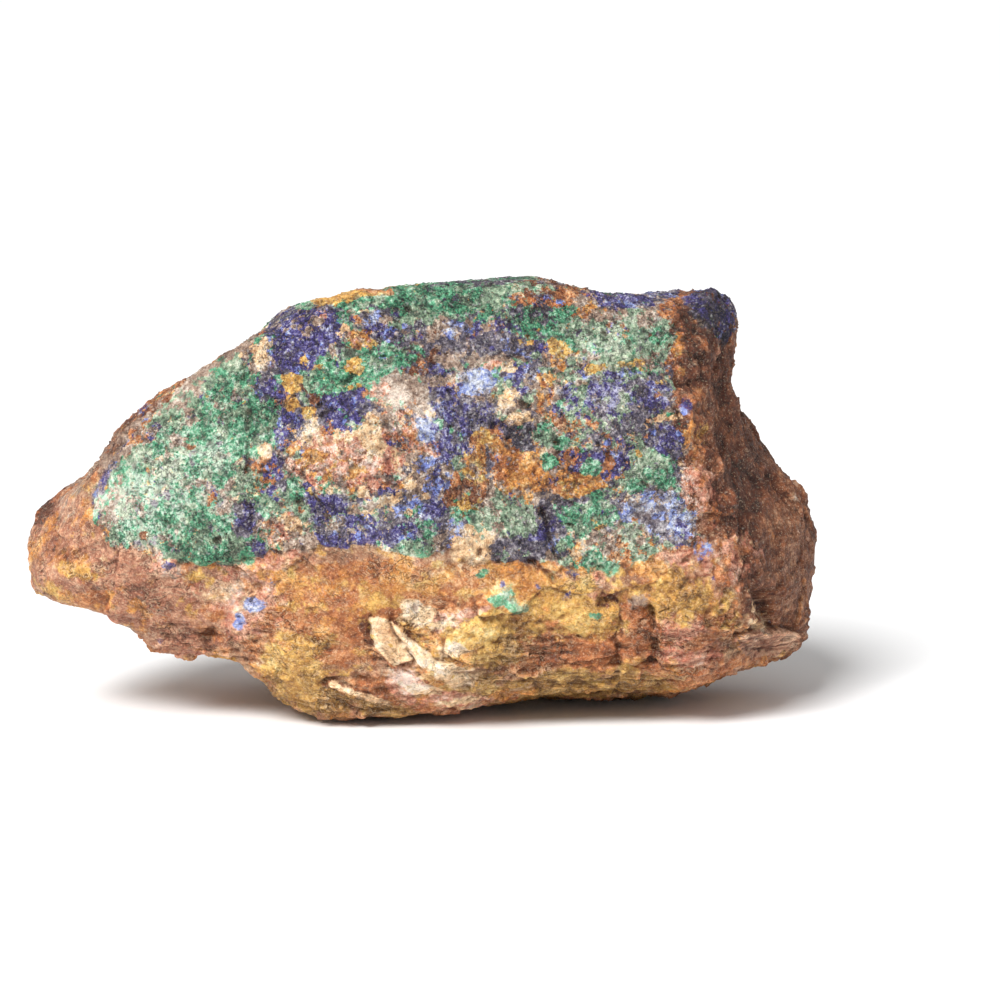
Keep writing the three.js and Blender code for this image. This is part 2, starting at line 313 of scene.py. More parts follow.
def inside(X, Y, poly):
    """Distance to a polygon's edge on the chart, above 0 inside it."""
    best = np.full(len(X), 1e9)
    inner = np.zeros(len(X), bool)
    for k in range(len(poly)):
        (x0, y0), (x1, y1) = poly[k], poly[(k + 1) % len(poly)]
        dx, dy = x1 - x0, y1 - y0
        t = np.clip(((X - x0) * dx + (Y - y0) * dy) / (dx * dx + dy * dy), 0, 1)
        best = np.minimum(best, np.hypot(X - x0 - t * dx, Y - y0 - t * dy))
        if y0 != y1:
            inner ^= ((y0 > Y) != (y1 > Y)) & (X < (x1 - x0) * (Y - y0) / (y1 - y0) + x0)
    return np.where(inner, best, -best)


def along(X, Y, line):
    """Distance to a line of points on the chart."""
    best = np.full(len(X), 1e9)
    for (x0, y0), (x1, y1) in zip(line, line[1:]):
        dx, dy = x1 - x0, y1 - y0
        t = np.clip(((X - x0) * dx + (Y - y0) * dy) / (dx * dx + dy * dy), 0, 1)
        best = np.minimum(best, np.hypot(X - x0 - t * dx, Y - y0 - t * dy))
    return best


def oval(X, Y, x, y, rx, ry, turn):
    c, s = math.cos(math.radians(turn)), math.sin(math.radians(turn))
    u, v = (X - x) * c + (Y - y) * s, (Y - y) * c - (X - x) * s
    return (u / rx) ** 2 + (v / ry) ** 2


def crisp(co):
    """Chart place with only a slight waver, for edges that are sharp on the stone."""
    X, Y = chart(co)
    return X + 1.9 * fbm(co / 0.0030, 3, 37), Y + 1.9 * fbm(co / 0.0030, 3, 38)


def places(co, no):
    """Chart place, how far a point faces the front, and how much crust it carries."""
    X, Y = chart(co)
    turned = faces_eye(co, no)
    front = smooth(-0.34, -0.04, turned)
    warp = co / 0.011
    X = X + 6.5 * fbm(warp, 3, 5) + 3.5 * fbm(co / 0.0024, 2, 8)
    Y = Y + 6.5 * fbm(warp, 3, 6) + 3.5 * fbm(co / 0.0024, 2, 9)
    over = 1 - smooth(0.0, 0.022, co[:, 1] + 0.012 + 0.008 * fbm(co / 0.014, 3, 31))
    top = over * smooth(0.2, 0.6, no[:, 2])
    spots = smooth(0.34, 0.6, fbm(co / 0.016, 4, 33)) * (no[:, 2] > -0.5)
    away = np.maximum(top, 0.8 * spots * smooth(0.2, -0.3, turned))
    ragged = 8 * fbm(co / 0.0038, 3, 35) + 3 * fbm(co / 0.0014, 2, 36)
    on = smooth(-3, 3, np.maximum(inside(X, Y, CRUST), inside(X, Y, CORNER)) + ragged)
    return X, Y, front, on * front + away * (1 - front)


# ------------------------------------------------------------ the rock's surface
MM = 0.001
base = link("rock_base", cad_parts[ROCK].data.copy())
made = base.modifiers.new("voxels", "REMESH")
made.mode = "VOXEL"
made.voxel_size = 0.0004
graph = bpy.context.evaluated_depsgraph_get()
skin = bpy.data.meshes.new_from_object(base.evaluated_get(graph))
bpy.data.objects.remove(base)
co, e = to_arrays(skin), edges_of(skin)
co = relax(co, e, 60)
put(skin, co)
no = normals_of(skin)
base_no = relax(no, e, 8)
base_no /= np.linalg.norm(base_no, axis=1)[:, None]
X, Y, front, crust = places(co, base_no)
bare = 1 - crust
side = smooth(-5, 6, inside(X, Y, SIDE)) * front
lower = smooth(0.020, 0.010, co[:, 2])
calm = np.zeros(len(co))
for poly in CALM:
    calm = np.maximum(calm, smooth(-6, 10, inside(X, Y, poly)) * front)

bevel = smooth(-4, 5, inside(X, Y, BEVEL)) * front
sharp_x, sharp_y = crisp(co)
flake = np.zeros(len(co))
for height, way, poly in FLAKES:
    flake = np.maximum(flake, smooth(-1.5, 1.5, inside(sharp_x, sharp_y, poly)) * front)
calm = np.maximum(calm, flake)

rise = np.zeros(len(co))
rise += 0.95 * (0.45 + 0.75 * bare) * (1 - 0.4 * calm) * (1 - 0.7 * bevel) * facets(co / 0.0135, 41)
rise += 1.05 * (0.30 + 0.95 * bare) * (1 - 0.75 * calm) * (1 - 0.70 * side) * (1 - 0.30 * front) * facets(co * np.array([0.7, 0.7, 1.25]) / 0.0060, 42)
rise += 0.42 * (0.30 + 0.8 * bare) * (1 - 0.8 * calm) * (1 - 0.6 * side) * facets(co / 0.0024, 43)
rise += (0.20 * bare * (1 - 0.9 * calm) + 0.12 * (1 - flake)) * (ridged(co / 0.0050, 3, 51) - 0.55)
rise += (0.12 * bare + 0.18) * (1 - 0.3 * calm) * (1 - 0.5 * side) * (1 - 0.8 * flake) * fbm(co / 0.0015, 3, 61)
bed = co * np.array([0.22, 0.22, 1.0]) / 0.0026
rise += 0.34 * lower * bare * (1 - 0.7 * calm) * ridged(bed, 2, 71)
lie = np.array([0.34, 0.26, -0.90]) / np.linalg.norm([0.34, 0.26, -0.90])
streak = co + 0.002 * fbm(co / 0.01, 2, 74)[:, None]
streak = (streak - 0.90 * (streak @ lie)[:, None] * lie) / 0.0026
rise += 0.34 * side * fbm(streak, 3, 75) + 1.3 * side * (1 - 0.85 * bevel) * facets(co * np.array([1, 1, 0.5]) / 0.0150, 76)
rise += 0.60 * side * (1 - 0.6 * bevel) * smooth(-0.2, 0.3, fbm(co / 0.012, 2, 73)) * facets(streak * 0.42, 77)
# thin broken beds low on the stone, each a shallow step
level = (co[:, 2] + 0.0016 * fbm(co / 0.012, 2, 78)) / 0.0021
step = level - np.floor(level)  # 0 at the foot of each bed
rise += 0.62 * bare * (1 - 0.8 * calm) * smooth(0.034, 0.014, co[:, 2]) * smooth(-0.2, 0.2, fbm(co / 0.009, 2, 79)) * (smooth(0.0, 0.8, step) - smooth(0.8, 1.0, step) - 0.4)
d1, d2, num, _ = worley(co / 0.0023, 81)
big = (0.65 - d1) * (0.4 + 0.6 * scramble(num, 1))
d1, _, num, _ = worley(co / 0.0010, 82)
small = (0.6 - d1) * (0.3 + 0.7 * scramble(num, 2))
lumpy = smooth(-0.35, 0.35, fbm(co / 0.009, 2, 83))
rise += crust * (0.55 + 0.95 * big * lumpy + 0.55 * small)
rise += 0.19 * bare * (1 - 0.2 * calm) * facets(co / 0.00125, 84) + 0.12 * bare * fbm(co / 0.00075, 2, 85)
rise += 0.12 * crust * fbm(co / 0.0007, 2, 86)
pits = smooth(0.50, 0.72, fbm(co / 0.0034, 2, 87))
rise -= (0.9 * crust + 0.35 * bare) * pits

there = front > 0.01
x, y, w = X[there], Y[there], front[there]
hand = np.zeros(len(x))
for mx, my, rx, ry, turn, height in MOUNDS:
    hand += height * np.exp(-oval(x, y, mx, my, rx, ry, turn) ** 1.4)
sx, sy = sharp_x[there], sharp_y[there]
broken = smooth(-0.45, 0.35, fbm(co[there] / 0.005, 2, 91))
for half, depth, line in GROOVES:
    d = along(sx, sy, line)
    hand -= depth * broken * (0.75 * np.exp(-(d / (1.2 * half)) ** 2) + 0.45 * np.exp(-(d / (3.5 * half)) ** 2))
for height, way, poly in FLAKES:
    d, t = flake_at(sx, sy, way, poly)
    hand += 1.15 * height * (0.45 + 0.55 * t) * smooth(-0.6, 0.8, d)
    hand -= (0.15 + 0.55 * smooth(0.1, 0.7, t)) * np.exp(-((d + 2.0) / 1.6) ** 2)
rise[there] += hand * w

rise -= np.average(rise)
# at the six ends of the box the surface stays where the CAD has it
gap = np.minimum(co - np.array(cad_low), np.array(cad_high) - co).min(1)
rise = np.where(rise > 0, np.minimum(rise, 0.9 * gap / MM), rise)
tip = np.minimum(gap, 0.004 + 0 * gap)
rise = np.where(rise < 0, rise * (0.25 + 0.75 * smooth(0.0, 0.004, tip)), rise)
foot = smooth(0.0004, 0.0020, co[:, 2])
co = co + no * (rise * MM * foot)[:, None]
co = relax(co, e, 1, step=0.3)
co = np.clip(co, np.array(cad_low) + 0.00002, np.array(cad_high) - 0.00002)
put(skin, co)
no = normals_of(skin)
say("displaced %d points" % len(co))

# The whole rock is one closed mesh.  Over its front lies a finer skin of the same
# surface, whose rim dips into the rock; the rock lies just under it there.
dense = np.empty(len(skin.polygons) * 4, np.int32)
skin.polygons.foreach_get("vertices", dense)
dense = dense.reshape(-1, 4)
tree = BVHTree.FromPolygons(co.tolist(), dense.tolist())
look = smooth(-0.45, -0.12, faces_eye(co, base_no)) * smooth(0.0012, 0.0045, co[:, 2])
body_co = co - no * (0.00045 * smooth(0.45, 0.85, look))[:, None]
skin_co = co - no * (0.00060 * (1 - smooth(0.05, 0.40, look)))[:, None]
edge = 0.00002
low_box, high_box = np.array(cad_low) + edge, np.array(cad_high) - edge


def mesh_of(name, points, faces):
    out = bpy.data.meshes.new(name)
    out.vertices.add(len(points))
    out.vertices.foreach_set("co", points.astype(np.float32).ravel())
    out.loops.add(faces.size)
    out.loops.foreach_set("vertex_index", faces.astype(np.int32).ravel())
    out.polygons.add(len(faces))
    out.polygons.foreach_set("loop_start", np.arange(0, faces.size, faces.shape[1], dtype=np.int32))
    out.update(calc_edges=True)
    return out


def thinned(name, source, most):
    """Fewer triangles, each point still on the source's surface, clean and smooth shaded."""
    o = link(name, source)
    if 2 * len(source.polygons) > most:
        made = o.modifiers.new("thin", "DECIMATE")
        made.ratio = most / (2.0 * len(source.polygons))
    else:
        o.modifiers.new("thin", "TRIANGULATE")
    out = bpy.data.meshes.new_from_object(o.evaluated_get(bpy.context.evaluated_depsgraph_get()))
    bpy.data.objects.remove(o)
    bpy.data.meshes.remove(source)
    at = np.clip(to_arrays(out), low_box, high_box)
    put(out, at)
    work = bmesh.new()
    work.from_mesh(out)
    bmesh.ops.triangulate(work, faces=work.faces[:])
    bmesh.ops.dissolve_degenerate(work, edges=work.edges[:], dist=1e-7)
    bmesh.ops.triangulate(work, faces=work.faces[:])
    work.to_mesh(out)
    work.free()
    out.name = name
    out.polygons.foreach_set("use_smooth", np.ones(len(out.polygons), bool))
    out.update()
    if len(out.polygons) >= 200000:
        raise RuntimeError("%s has more than 200,000 triangles" % name)
    say("%s has %d triangles" % (name, len(out.polygons)))
    return out


def facing(points):
    """The smooth normal of the stone under each point."""
    near = np.empty(len(points), np.int64)
    for k, p in enumerate(points.tolist()):
        near[k] = tree.find_nearest(p)[2]
    return base_no[dense[near, 0]]


body_co[:, 2] = np.where(body_co[:, 2] < 0.00016, edge, body_co[:, 2])
body = thinned("malachite_crusted_rock", mesh_of("body", body_co, dense), 174000)
flat = to_arrays(body)
flat[:, 2] = np.where(flat[:, 2] < 0.0003, edge, flat[:, 2])
put(body, flat)
keep = (look[dense] > 0.02).all(1)
used = np.unique(dense[keep])
renumber = np.zeros(len(co), np.int64)
renumber[used] = np.arange(len(used))
face_skin = thinned("weathered_front", mesh_of("front", skin_co[used], renumber[dense[keep]]), 197000)
bpy.data.meshes.remove(skin)
rock = link("malachite_crusted_rock", body)
front_skin = link("weathered_front", face_skin)
reached = to_arrays(body).max(0) - to_arrays(body).min(0)
wanted = np.array(cad_high) - np.array(cad_low)
if np.any(np.abs(reached - wanted) > 0.0025):
    raise RuntimeError("the rock's size %s is not the CAD's %s" % (reached, wanted))




# ------------------------------------------------------------------- minerals
# One colour ramp for each mineral, from its darkest grains to its palest.
MINERALS = {
    "malachite": [(0.0, (14, 42, 33)), (0.28, (42, 108, 78)), (0.55, (84, 158, 118)), (0.8, (136, 198, 162)), (1.0, (208, 230, 208))],
    "sage": [(0.0, (40, 52, 44)), (0.35, (98, 124, 100)), (0.7, (150, 176, 146)), (1.0, (210, 220, 196))],
    "azurite": [(0.0, (14, 12, 30)), (0.3, (38, 33, 80)), (0.6, (68, 60, 126)), (0.85, (118, 114, 168)), (1.0, (184, 184, 212))],
    "periwinkle": [(0.0, (50, 56, 112)), (0.35, (96, 112, 186)), (0.7, (148, 164, 218)), (1.0, (222, 228, 242))],
    "ochre": [(0.0, (124, 82, 34)), (0.4, (194, 142, 68)), (0.75, (228, 186, 104)), (1.0, (246, 224, 160))],
    "orange": [(0.0, (112, 60, 24)), (0.4, (190, 120, 54)), (0.75, (226, 164, 90)), (1.0, (246, 208, 152))],
    "rust": [(0.0, (90, 42, 20)), (0.4, (164, 94, 50)), (0.75, (202, 136, 86)), (1.0, (234, 188, 142))],
    "pink": [(0.0, (126, 60, 46)), (0.4, (192, 118, 92)), (0.75, (226, 174, 148)), (1.0, (248, 222, 208))],
    "cream": [(0.0, (152, 102, 66)), (0.4, (216, 174, 130)), (0.75, (244, 214, 172)), (1.0, (253, 238, 218))],
    "taupe": [(0.0, (64, 48, 42)), (0.4, (140, 114, 98)), (0.75, (182, 158, 140)), (1.0, (230, 214, 198))],
    "slate": [(0.0, (26, 24, 34)), (0.4, (72, 68, 86)), (0.75, (124, 116, 128)), (1.0, (190, 184, 188))],
    "brown": [(0.0, (36, 17, 9)), (0.4, (96, 50, 29)), (0.75, (140, 84, 52)), (1.0, (188, 138, 104))],
    "olive": [(0.0, (94, 64, 28)), (0.4, (160, 116, 54)), (0.75, (200, 158, 84)), (1.0, (234, 206, 138))],
    "salmon": [(0.0, (98, 54, 40)), (0.4, (164, 106, 80)), (0.75, (202, 150, 120)), (1.0, (236, 198, 168))],
}
# where each mineral lies: x, y, half width, half height, turn, strength
ZONES = {
    "malachite": [
        (205, 440, 62, 34, -38, 1.05), (165, 500, 62, 36, -12, 1.05), (244, 430, 28, 30, 0, 1.5), (205, 548, 44, 14, 4, 1.35), (230, 388, 26, 16, -25, 1.3), (140, 528, 26, 14, 0, 1.2), (190, 505, 24, 14, 0, 1.2),
        (235, 388, 16, 9, -25, 0.8), (262, 509, 17, 7, 0, 0.8), (303, 305, 12, 5, 0, 0.8), (332, 372, 24, 26, 0, 1.0),
        (382, 360, 24, 16, -10, 0.9), (388, 301, 18, 8, 0, 0.9), (452, 304, 50, 14, 0, 1.1), (470, 284, 70, 9, 0, 1.0), (535, 320, 22, 16, 0, 1.1),
        (580, 338, 24, 12, 10, 0.9), (572, 405, 12, 10, 0, 0.9), (545, 434, 10, 9, 0, 1.5), (564, 443, 8, 6, 0, 1.4), (549, 461, 8, 7, 0, 1.3), (578, 450, 7, 5, 0, 1.3),
        (593, 470, 9, 6, 0, 1.4), (634, 484, 8, 6, 0, 1.4), (598, 497, 9, 7, 0, 1.3), (651, 463, 16, 13, 0, 1.0),
        (581, 511, 26, 16, 0, 0.9), (566, 544, 9, 6, 0, 0.9), (596, 566, 20, 8, 0, 1.0), (420, 552, 16, 5, -8, 0.9),
        (502, 598, 15, 9, -20, 1.3), (519, 609, 12, 7, 0, 1.3), (604, 617, 6, 5, 0, 1.0), (556, 577, 6, 4, 0, 0.9),
        (486, 574, 6, 5, 0, 0.9), (617, 391, 10, 8, 0, 0.7), (641, 347, 16, 12, 0, 0.6),
    ],
    "sage": [
        (190, 480, 80, 52, -30, 0.42),         (190, 396, 50, 9, -38, 0.8), (118, 505, 16, 20, 0, 0.6), (620, 345, 44, 26, 0, 0.9), (511, 522, 28, 22, 0, 0.9),
        (690, 522, 11, 18, 0, 0.7), (640, 548, 24, 16, 0, 0.7), (395, 330, 24, 12, 0, 0.4), (600, 390, 52, 30, 0, 0.5),
    ],
    "azurite": [
        (454, 426, 15, 32, 6, 1.25), (442, 472, 9, 22, 0, 1.0), (350, 532, 28, 11, 0, 1.5), (322, 512, 9, 16, -25, 1.2), (392, 534, 22, 10, 0, 1.3), (436, 508, 11, 16, 0, 1.1),
        (296, 348, 24, 22, 0, 1.4), (300, 320, 22, 9, 0, 1.2), (332, 326, 14, 12, 0, 0.9), (342, 411, 21, 17, -10, 1.5),
        (286, 425, 15, 13, 0, 1.0), (366, 528, 34, 12, -10, 1.5), (338, 510, 12, 16, -20, 1.1), (245, 517, 15, 13, 0, 1.1),
        (261, 549, 11, 8, 0, 1.2), (438, 412, 12, 30, 10, 0.95), (466, 414, 26, 16, 0, 0.80), (436, 371, 10, 6, 0, 0.9),
        (388, 331, 16, 9, 0, 0.8), (541, 298, 10, 5, 0, 0.9), (632, 300, 28, 7, 0, 1.1), (640, 289, 40, 8, 0, 1.0),
        (611, 396, 56, 26, 0, 0.62), (668, 443, 19, 14, 0, 1.2), (652, 404, 10, 8, 0, 1.1), (393, 496, 12, 6, 0, 1.0),
        (307, 492, 8, 7, 0, 0.8), (505, 349, 36, 9, 4, 0.6), (545, 531, 7, 9, 0, 0.9), (680, 533, 8, 13, 0, 0.8),
        (503, 584, 5, 4, 0, 0.9), (565, 597, 7, 5, 0, 1.3), (538, 589, 5, 4, 0, 0.9), (586, 609, 5, 4, 0, 0.9),
        (575, 578, 9, 5, 0, 0.8), (710, 575, 5, 5, 0, 1.1), (729, 571, 4, 3, 0, 1.0), (704, 300, 18, 13, 0, 2.0),
        (724, 316, 16, 22, 0, 1.9), (687, 406, 6, 7, 0, 1.6), (175, 570, 10, 6, 0, 0.8), (161, 641, 4, 6, 0, 0.7),
        (104, 480, 5, 34, 22, 0.6), (146, 412, 9, 5, -40, 0.8), (262, 388, 9, 14, 0, 0.7), (424, 545, 10, 5, 0, 0.5),
        (525, 380, 24, 18, 0, 0.6), (270, 478, 10, 34, 8, 0.6), (505, 466, 12, 20, 0, 0.5), (615, 455, 26, 24, 0, 0.5),
    ],
    "periwinkle": [
        (560, 545, 12, 10, 0, 0.6), (468, 392, 16, 8, -20, 0.9), (436, 452, 8, 16, 0, 0.9), (670, 530, 14, 12, 0, 0.8), (640, 500, 22, 8, 0, 0.9),
        (425, 428, 11, 14, 0, 1.3), (478, 380, 14, 9, 0, 1.4), (424, 472, 10, 18, 0, 1.4), (410, 497, 11, 9, 0, 1.1),
        (651, 512, 32, 16, 0, 1.0), (388, 360, 8, 6, 0, 0.8), (578, 382, 8, 6, 0, 0.9), (254, 603, 12, 6, -10, 2.4),
        (241, 618, 7, 6, 0, 2.2), (272, 575, 7, 5, 0, 1.8), (456, 529, 9, 8, 0, 1.0), (440, 545, 9, 5, 0, 1.0),
        (458, 402, 12, 9, 0, 0.7), (558, 304, 7, 4, 0, 0.8), (448, 470, 12, 22, 0, 0.7), (454, 331, 9, 8, 0, 1.9), (470, 327, 6, 4, 0, 1.2), (392, 332, 16, 7, -8, 1.2), (376, 320, 7, 5, 0, 0.9), (700, 548, 12, 14, 0, 0.7), (688, 520, 8, 14, 0, 0.9),
    ],
    "ochre": [
        (640, 362, 14, 5, 0, 0.8), (662, 388, 8, 5, 0, 0.6), (526, 344, 9, 6, 0, 0.7), (480, 470, 10, 16, 0, 0.9), (596, 520, 8, 10, 0, 0.6), (470, 500, 16, 10, 0, 0.7),
        (346, 297, 36, 6, -4, 1.1), (303, 364, 7, 6, 0, 1.9), (317, 369, 5, 5, 0, 1.7), (292, 383, 9, 8, 0, 1.9), (356, 368, 9, 7, 0, 1.8), (350, 386, 6, 4, 0, 1.6),
        (291, 405, 6, 6, 0, 1.6), (309, 414, 5, 5, 0, 1.4), (364, 475, 5, 5, 0, 1.0), (558, 347, 14, 8, 0, 0.8), (613, 367, 26, 5, 0, 0.9),
        (478, 628, 36, 17, 0, 1.5), (568, 612, 46, 24, 0, 1.5), (77, 573, 20, 7, 12, 1.3), (56, 591, 16, 8, 20, 1.1), (190, 609, 17, 10, 0, 0.8), (206, 575, 20, 10, 0, 0.7),
        (340, 592, 30, 18, 0, 0.6), (296, 655, 22, 19, 0, 1.4), (420, 578, 50, 8, 0, 0.4), (688, 602, 50, 21, 0, 0.9), (722, 616, 14, 14, 0, 1.0),
        (640, 455, 7, 6, 0, 0.9), (550, 642, 22, 5, 0, 1.0), (163, 498, 5, 5, 0, 0.8), (416, 287, 8, 4, 0, 0.9),
        (563, 686, 62, 9, 2, 0.8), (350, 574, 40, 9, 0, 0.25), (628, 366, 8, 5, 0, 0.8),
    ],
    "orange": [
        (556, 450, 60, 32, 0, 0.22), (612, 468, 34, 26, 0, 0.22), (672, 562, 30, 12, 0, 0.5),         (62, 545, 30, 18, 0, 0.7), (300, 580, 44, 16, 0, 0.7), (430, 582, 90, 14, 0, 0.9), (330, 604, 50, 30, 0, 0.9), (540, 580, 50, 12, 0, 0.7),         (516, 470, 24, 24, 0, 1.3), (575, 484, 26, 10, 0, 1.2), (545, 392, 9, 15, 0, 0.9), (484, 452, 17, 22, 0, 1.05),
        (590, 312, 12, 12, 0, 0.8), (315, 455, 11, 6, 0, 0.8), (338, 458, 40, 26, 0, 0.6), (366, 340, 14, 9, 0, 0.8), (318, 606, 16, 16, 0, 1.0),
        (437, 642, 22, 20, 0, 0.8), (694, 441, 14, 18, 0, 0.9), (678, 342, 5, 16, 0, 0.8), (401, 483, 7, 6, 0, 0.7),
        (50, 503, 12, 8, -20, 0.4), (536, 430, 26, 18, 0, 0.35), (100, 602, 12, 9, 0, 0.8), (270, 480, 12, 12, 0, 0.5),
    ],
    "rust": [
        (620, 640, 16, 22, 0, 0.9), (700, 636, 30, 12, -20, 0.9), (690, 680, 30, 10, 0, 0.9), (720, 530, 12, 20, -20, 1.1),
        (600, 430, 60, 40, 0, 0.36), (622, 548, 34, 20, 0, 0.45), (548, 300, 30, 14, 0, 0.7), (262, 470, 16, 30, 0, 0.5),         (568, 655, 44, 15, 0, 1.3), (385, 612, 24, 8, 0, 1.5), (352, 640, 16, 20, 0, 0.9), (638, 630, 26, 34, 0, 1.1), (315, 610, 54, 30, 0, 0.9), (430, 640, 34, 20, 0, 0.5),
        (360, 396, 6, 5, 0, 0.8), (427, 369, 7, 5, 0, 0.7), (607, 472, 7, 10, 0, 0.8), (208, 503, 6, 6, 0, 0.7),
        (190, 445, 5, 5, 0, 0.7), (564, 292, 22, 7, 0, 0.9), (676, 306, 14, 10, 0, 0.9), (760, 660, 20, 6, 0, 0.9),
        (112, 450, 12, 70, 50, 0.5), (270, 616, 12, 10, 0, 0.8), (200, 634, 16, 10, 0, 0.8), (368, 688, 20, 8, 0, 0.9), (72, 541, 30, 12, 8, 0.9), (98, 601, 14, 9, 20, 1.4), (128, 640, 20, 10, 30, 0.8),
        (440, 600, 60, 14, 0, 0.6), (665, 655, 36, 26, 0, 0.8), (724, 560, 24, 30, 0, 1.2), (700, 480, 14, 34, 0, 1.0), (130, 440, 10, 10, 0, 0.5),
    ],
    "pink": [
        (190, 584, 26, 18, 0, 0.8), (160, 566, 40, 9, 6, 0.7), (60, 512, 16, 9, 0, 0.5),
        (412, 450, 26, 36, 0, 0.7), (392, 400, 30, 18, 0, 0.6),         (334, 452, 38, 34, 0, 0.70), (286, 533, 16, 18, 0, 0.8), (364, 340, 13, 8, 0, 0.7), (250, 594, 34, 32, 0, 1.1),
        (275, 565, 30, 10, 0, 0.8), (682, 556, 20, 14, 0, 0.9), (728, 552, 30, 38, 0, 1.5), (702, 488, 16, 30, 0, 1.5),
        (402, 680, 13, 18, 0, 2.0), (452, 703, 30, 9, 0, 1.3), (446, 619, 20, 9, -18, 1.5), (186, 648, 22, 10, 0, 0.8), (120, 610, 18, 14, 0, 0.7),
        (492, 369, 9, 6, 0, 0.8), (449, 382, 7, 6, 0, 0.7), (322, 316, 8, 5, 0, 0.7), (685, 640, 40, 26, 0, 0.7),
        (375, 470, 24, 22, 0, 0.8), (600, 590, 8, 16, 0, 0.5),
    ],
    "cream": [
        (180, 490, 74, 44, -30, 0.30), (340, 440, 40, 26, 0, 0.55),         (380, 517, 15, 20, 0, 0.9), (512, 399, 11, 7, 0, 0.8), (519, 417, 9, 6, 0, 0.9), (472, 544, 22, 18, 0, 1.2),
        (430, 612, 20, 8, 0, 0.7),
        (410, 684, 15, 11, 0, 1.6), (454, 651, 13, 7, 0, 1.7), (416, 611, 15, 10, 30, 1.5), (440, 672, 34, 9, 30, 1.0), (344, 330, 9, 5, 0, 0.8), (509, 369, 8, 6, 0, 0.8),
        (377, 455, 12, 14, 0, 0.8), (264, 352, 9, 12, 0, 0.6), (266, 451, 9, 9, 0, 0.9), (760, 626, 7, 6, 0, 3.2),
        (657, 419, 20, 5, -8, 0.9), (562, 684, 54, 4, 4, 0.7), (130, 520, 6, 6, 0, 0.7), (430, 414, 6, 5, 0, 0.7),
        (400, 500, 8, 14, 0, 0.6),
    ],
    "taupe": [
        (410, 398, 22, 14, 0, 0.9), (540, 500, 14, 12, 0, 0.5), (606, 540, 20, 14, 0, 0.5), (300, 540, 20, 12, 0, 0.6), (640, 318, 14, 6, 0, 0.6), (668, 404, 10, 6, 0, 0.6),
        (185, 470, 78, 50, -34, 0.26), (222, 400, 34, 20, -30, 0.4),         (190, 388, 58, 9, -38, 0.9), (106, 456, 12, 60, 50, 0.9), (112, 508, 14, 28, 20, 0.8), (396, 396, 32, 18, 0, 0.8), (480, 360, 34, 8, 0, 0.7), (196, 455, 16, 8, 0, 0.5),
        (227, 497, 9, 14, 0, 0.5), (66, 511, 20, 15, -10, 0.75), (140, 605, 26, 30, 30, 0.55), (165, 572, 46, 13, 6, 0.70), (96, 566, 22, 10, 10, 0.5), (634, 304, 10, 5, 0, 0.7), (650, 359, 10, 9, 0, 0.8), (705, 302, 3, 9, 0, 1.0),
        (638, 602, 9, 8, 0, 1.3), (799, 515, 7, 25, 0, 0.8), (614, 318, 14, 6, 0, 0.6), (150, 590, 40, 22, 0, 0.4),
        (700, 415, 8, 12, 0, 0.5), (176, 441, 8, 6, 0, 0.5), (770, 560, 44, 60, 0, 0.2),
    ],
    "slate": [
        (718, 312, 20, 20, 0, 1.9),
        (710, 312, 18, 18, 0, 1.6), (722, 326, 10, 14, 0, 1.6), (452, 300, 50, 12, 0, 0.6), (470, 282, 70, 8, 0, 0.8), (535, 318, 22, 14, 0, 0.7), (620, 404, 56, 26, 0, 0.6),
        (485, 348, 42, 11, 0, 1.0), (524, 437, 13, 13, 0, 0.9), (492, 466, 7, 18, 0, 0.8), (516, 550, 28, 11, 0, 1.1),
        (545, 512, 20, 20, 0, 0.6), (420, 455, 20, 40, 0, 0.4), (626, 430, 50, 20, 0, 0.5),
    ],
    "brown": [
        (745, 430, 40, 120, 8, 2.0), (694, 372, 20, 62, 0, 1.5), (784, 560, 38, 96, 0, 1.5), (758, 600, 12, 24, -14, 2.4), (86, 466, 8, 60, 50, 1.0), (150, 408, 7, 50, 52, 0.9), (690, 292, 12, 8, 0, 0.8), (538, 286, 26, 8, 0, 1.0), (467, 491, 22, 20, 0, 0.7),
        (440, 298, 6, 5, 0, 0.8), (493, 290, 8, 5, 0, 0.8), (538, 293, 14, 8, 0, 0.9), (42, 508, 14, 16, 0, 1.8),
        (206, 638, 8, 10, 0, 1.2), (606, 600, 7, 11, 0, 1.2), (762, 604, 13, 22, 0, 1.0), (366, 634, 4, 24, -12, 1.6),
        (718, 304, 12, 8, 0, 0.8), (350, 455, 36, 22, 0, 0.4), (653, 634, 5, 22, 0, 0.9),
    ],
    "olive": [
        (494, 650, 34, 15, 0, 1.0), (560, 685, 96, 12, 0, 1.3), (635, 678, 18, 18, 0, 1.0), (300, 690, 40, 24, 0, 0.8),
        (300, 655, 26, 18, 0, 0.6), (338, 705, 60, 12, 4, 0.8), (336, 638, 9, 7, 0, 0.8), (520, 625, 60, 26, 0, 0.5),
    ],
    "salmon": [
        (66, 536, 36, 26, 0, 1.0), (64, 512, 16, 14, 0, 1.0), (70, 580, 36, 18, 0, 0.9), (140, 600, 40, 34, 20, 1.2),
        (110, 565, 34, 24, 0, 0.9), (210, 590, 30, 30, 0, 0.6), (708, 500, 14, 36, 0, 0.7), (786, 560, 20, 66, 0, 0.35),
        (170, 640, 36, 14, 0, 0.8), (710, 555, 30, 34, 0, 0.5),
    ],
}
NAMES = list(MINERALS)
# places where thin beds show: x, y, half width, half height, turn, strength
BEDDED = [
    (768, 644, 34, 14, 0, 1.0), (762, 604, 12, 22, -14, 0.8), (720, 640, 34, 22, -24, 0.7), (560, 682, 100, 14, 0, 0.7), (520, 650, 60, 14, 0, 0.5),
    (188, 638, 24, 18, 10, 0.8), (360, 694, 60, 16, 10, 0.5), (650, 660, 40, 26, -10, 0.5), (785, 560, 26, 70, 0, 0.35),
]
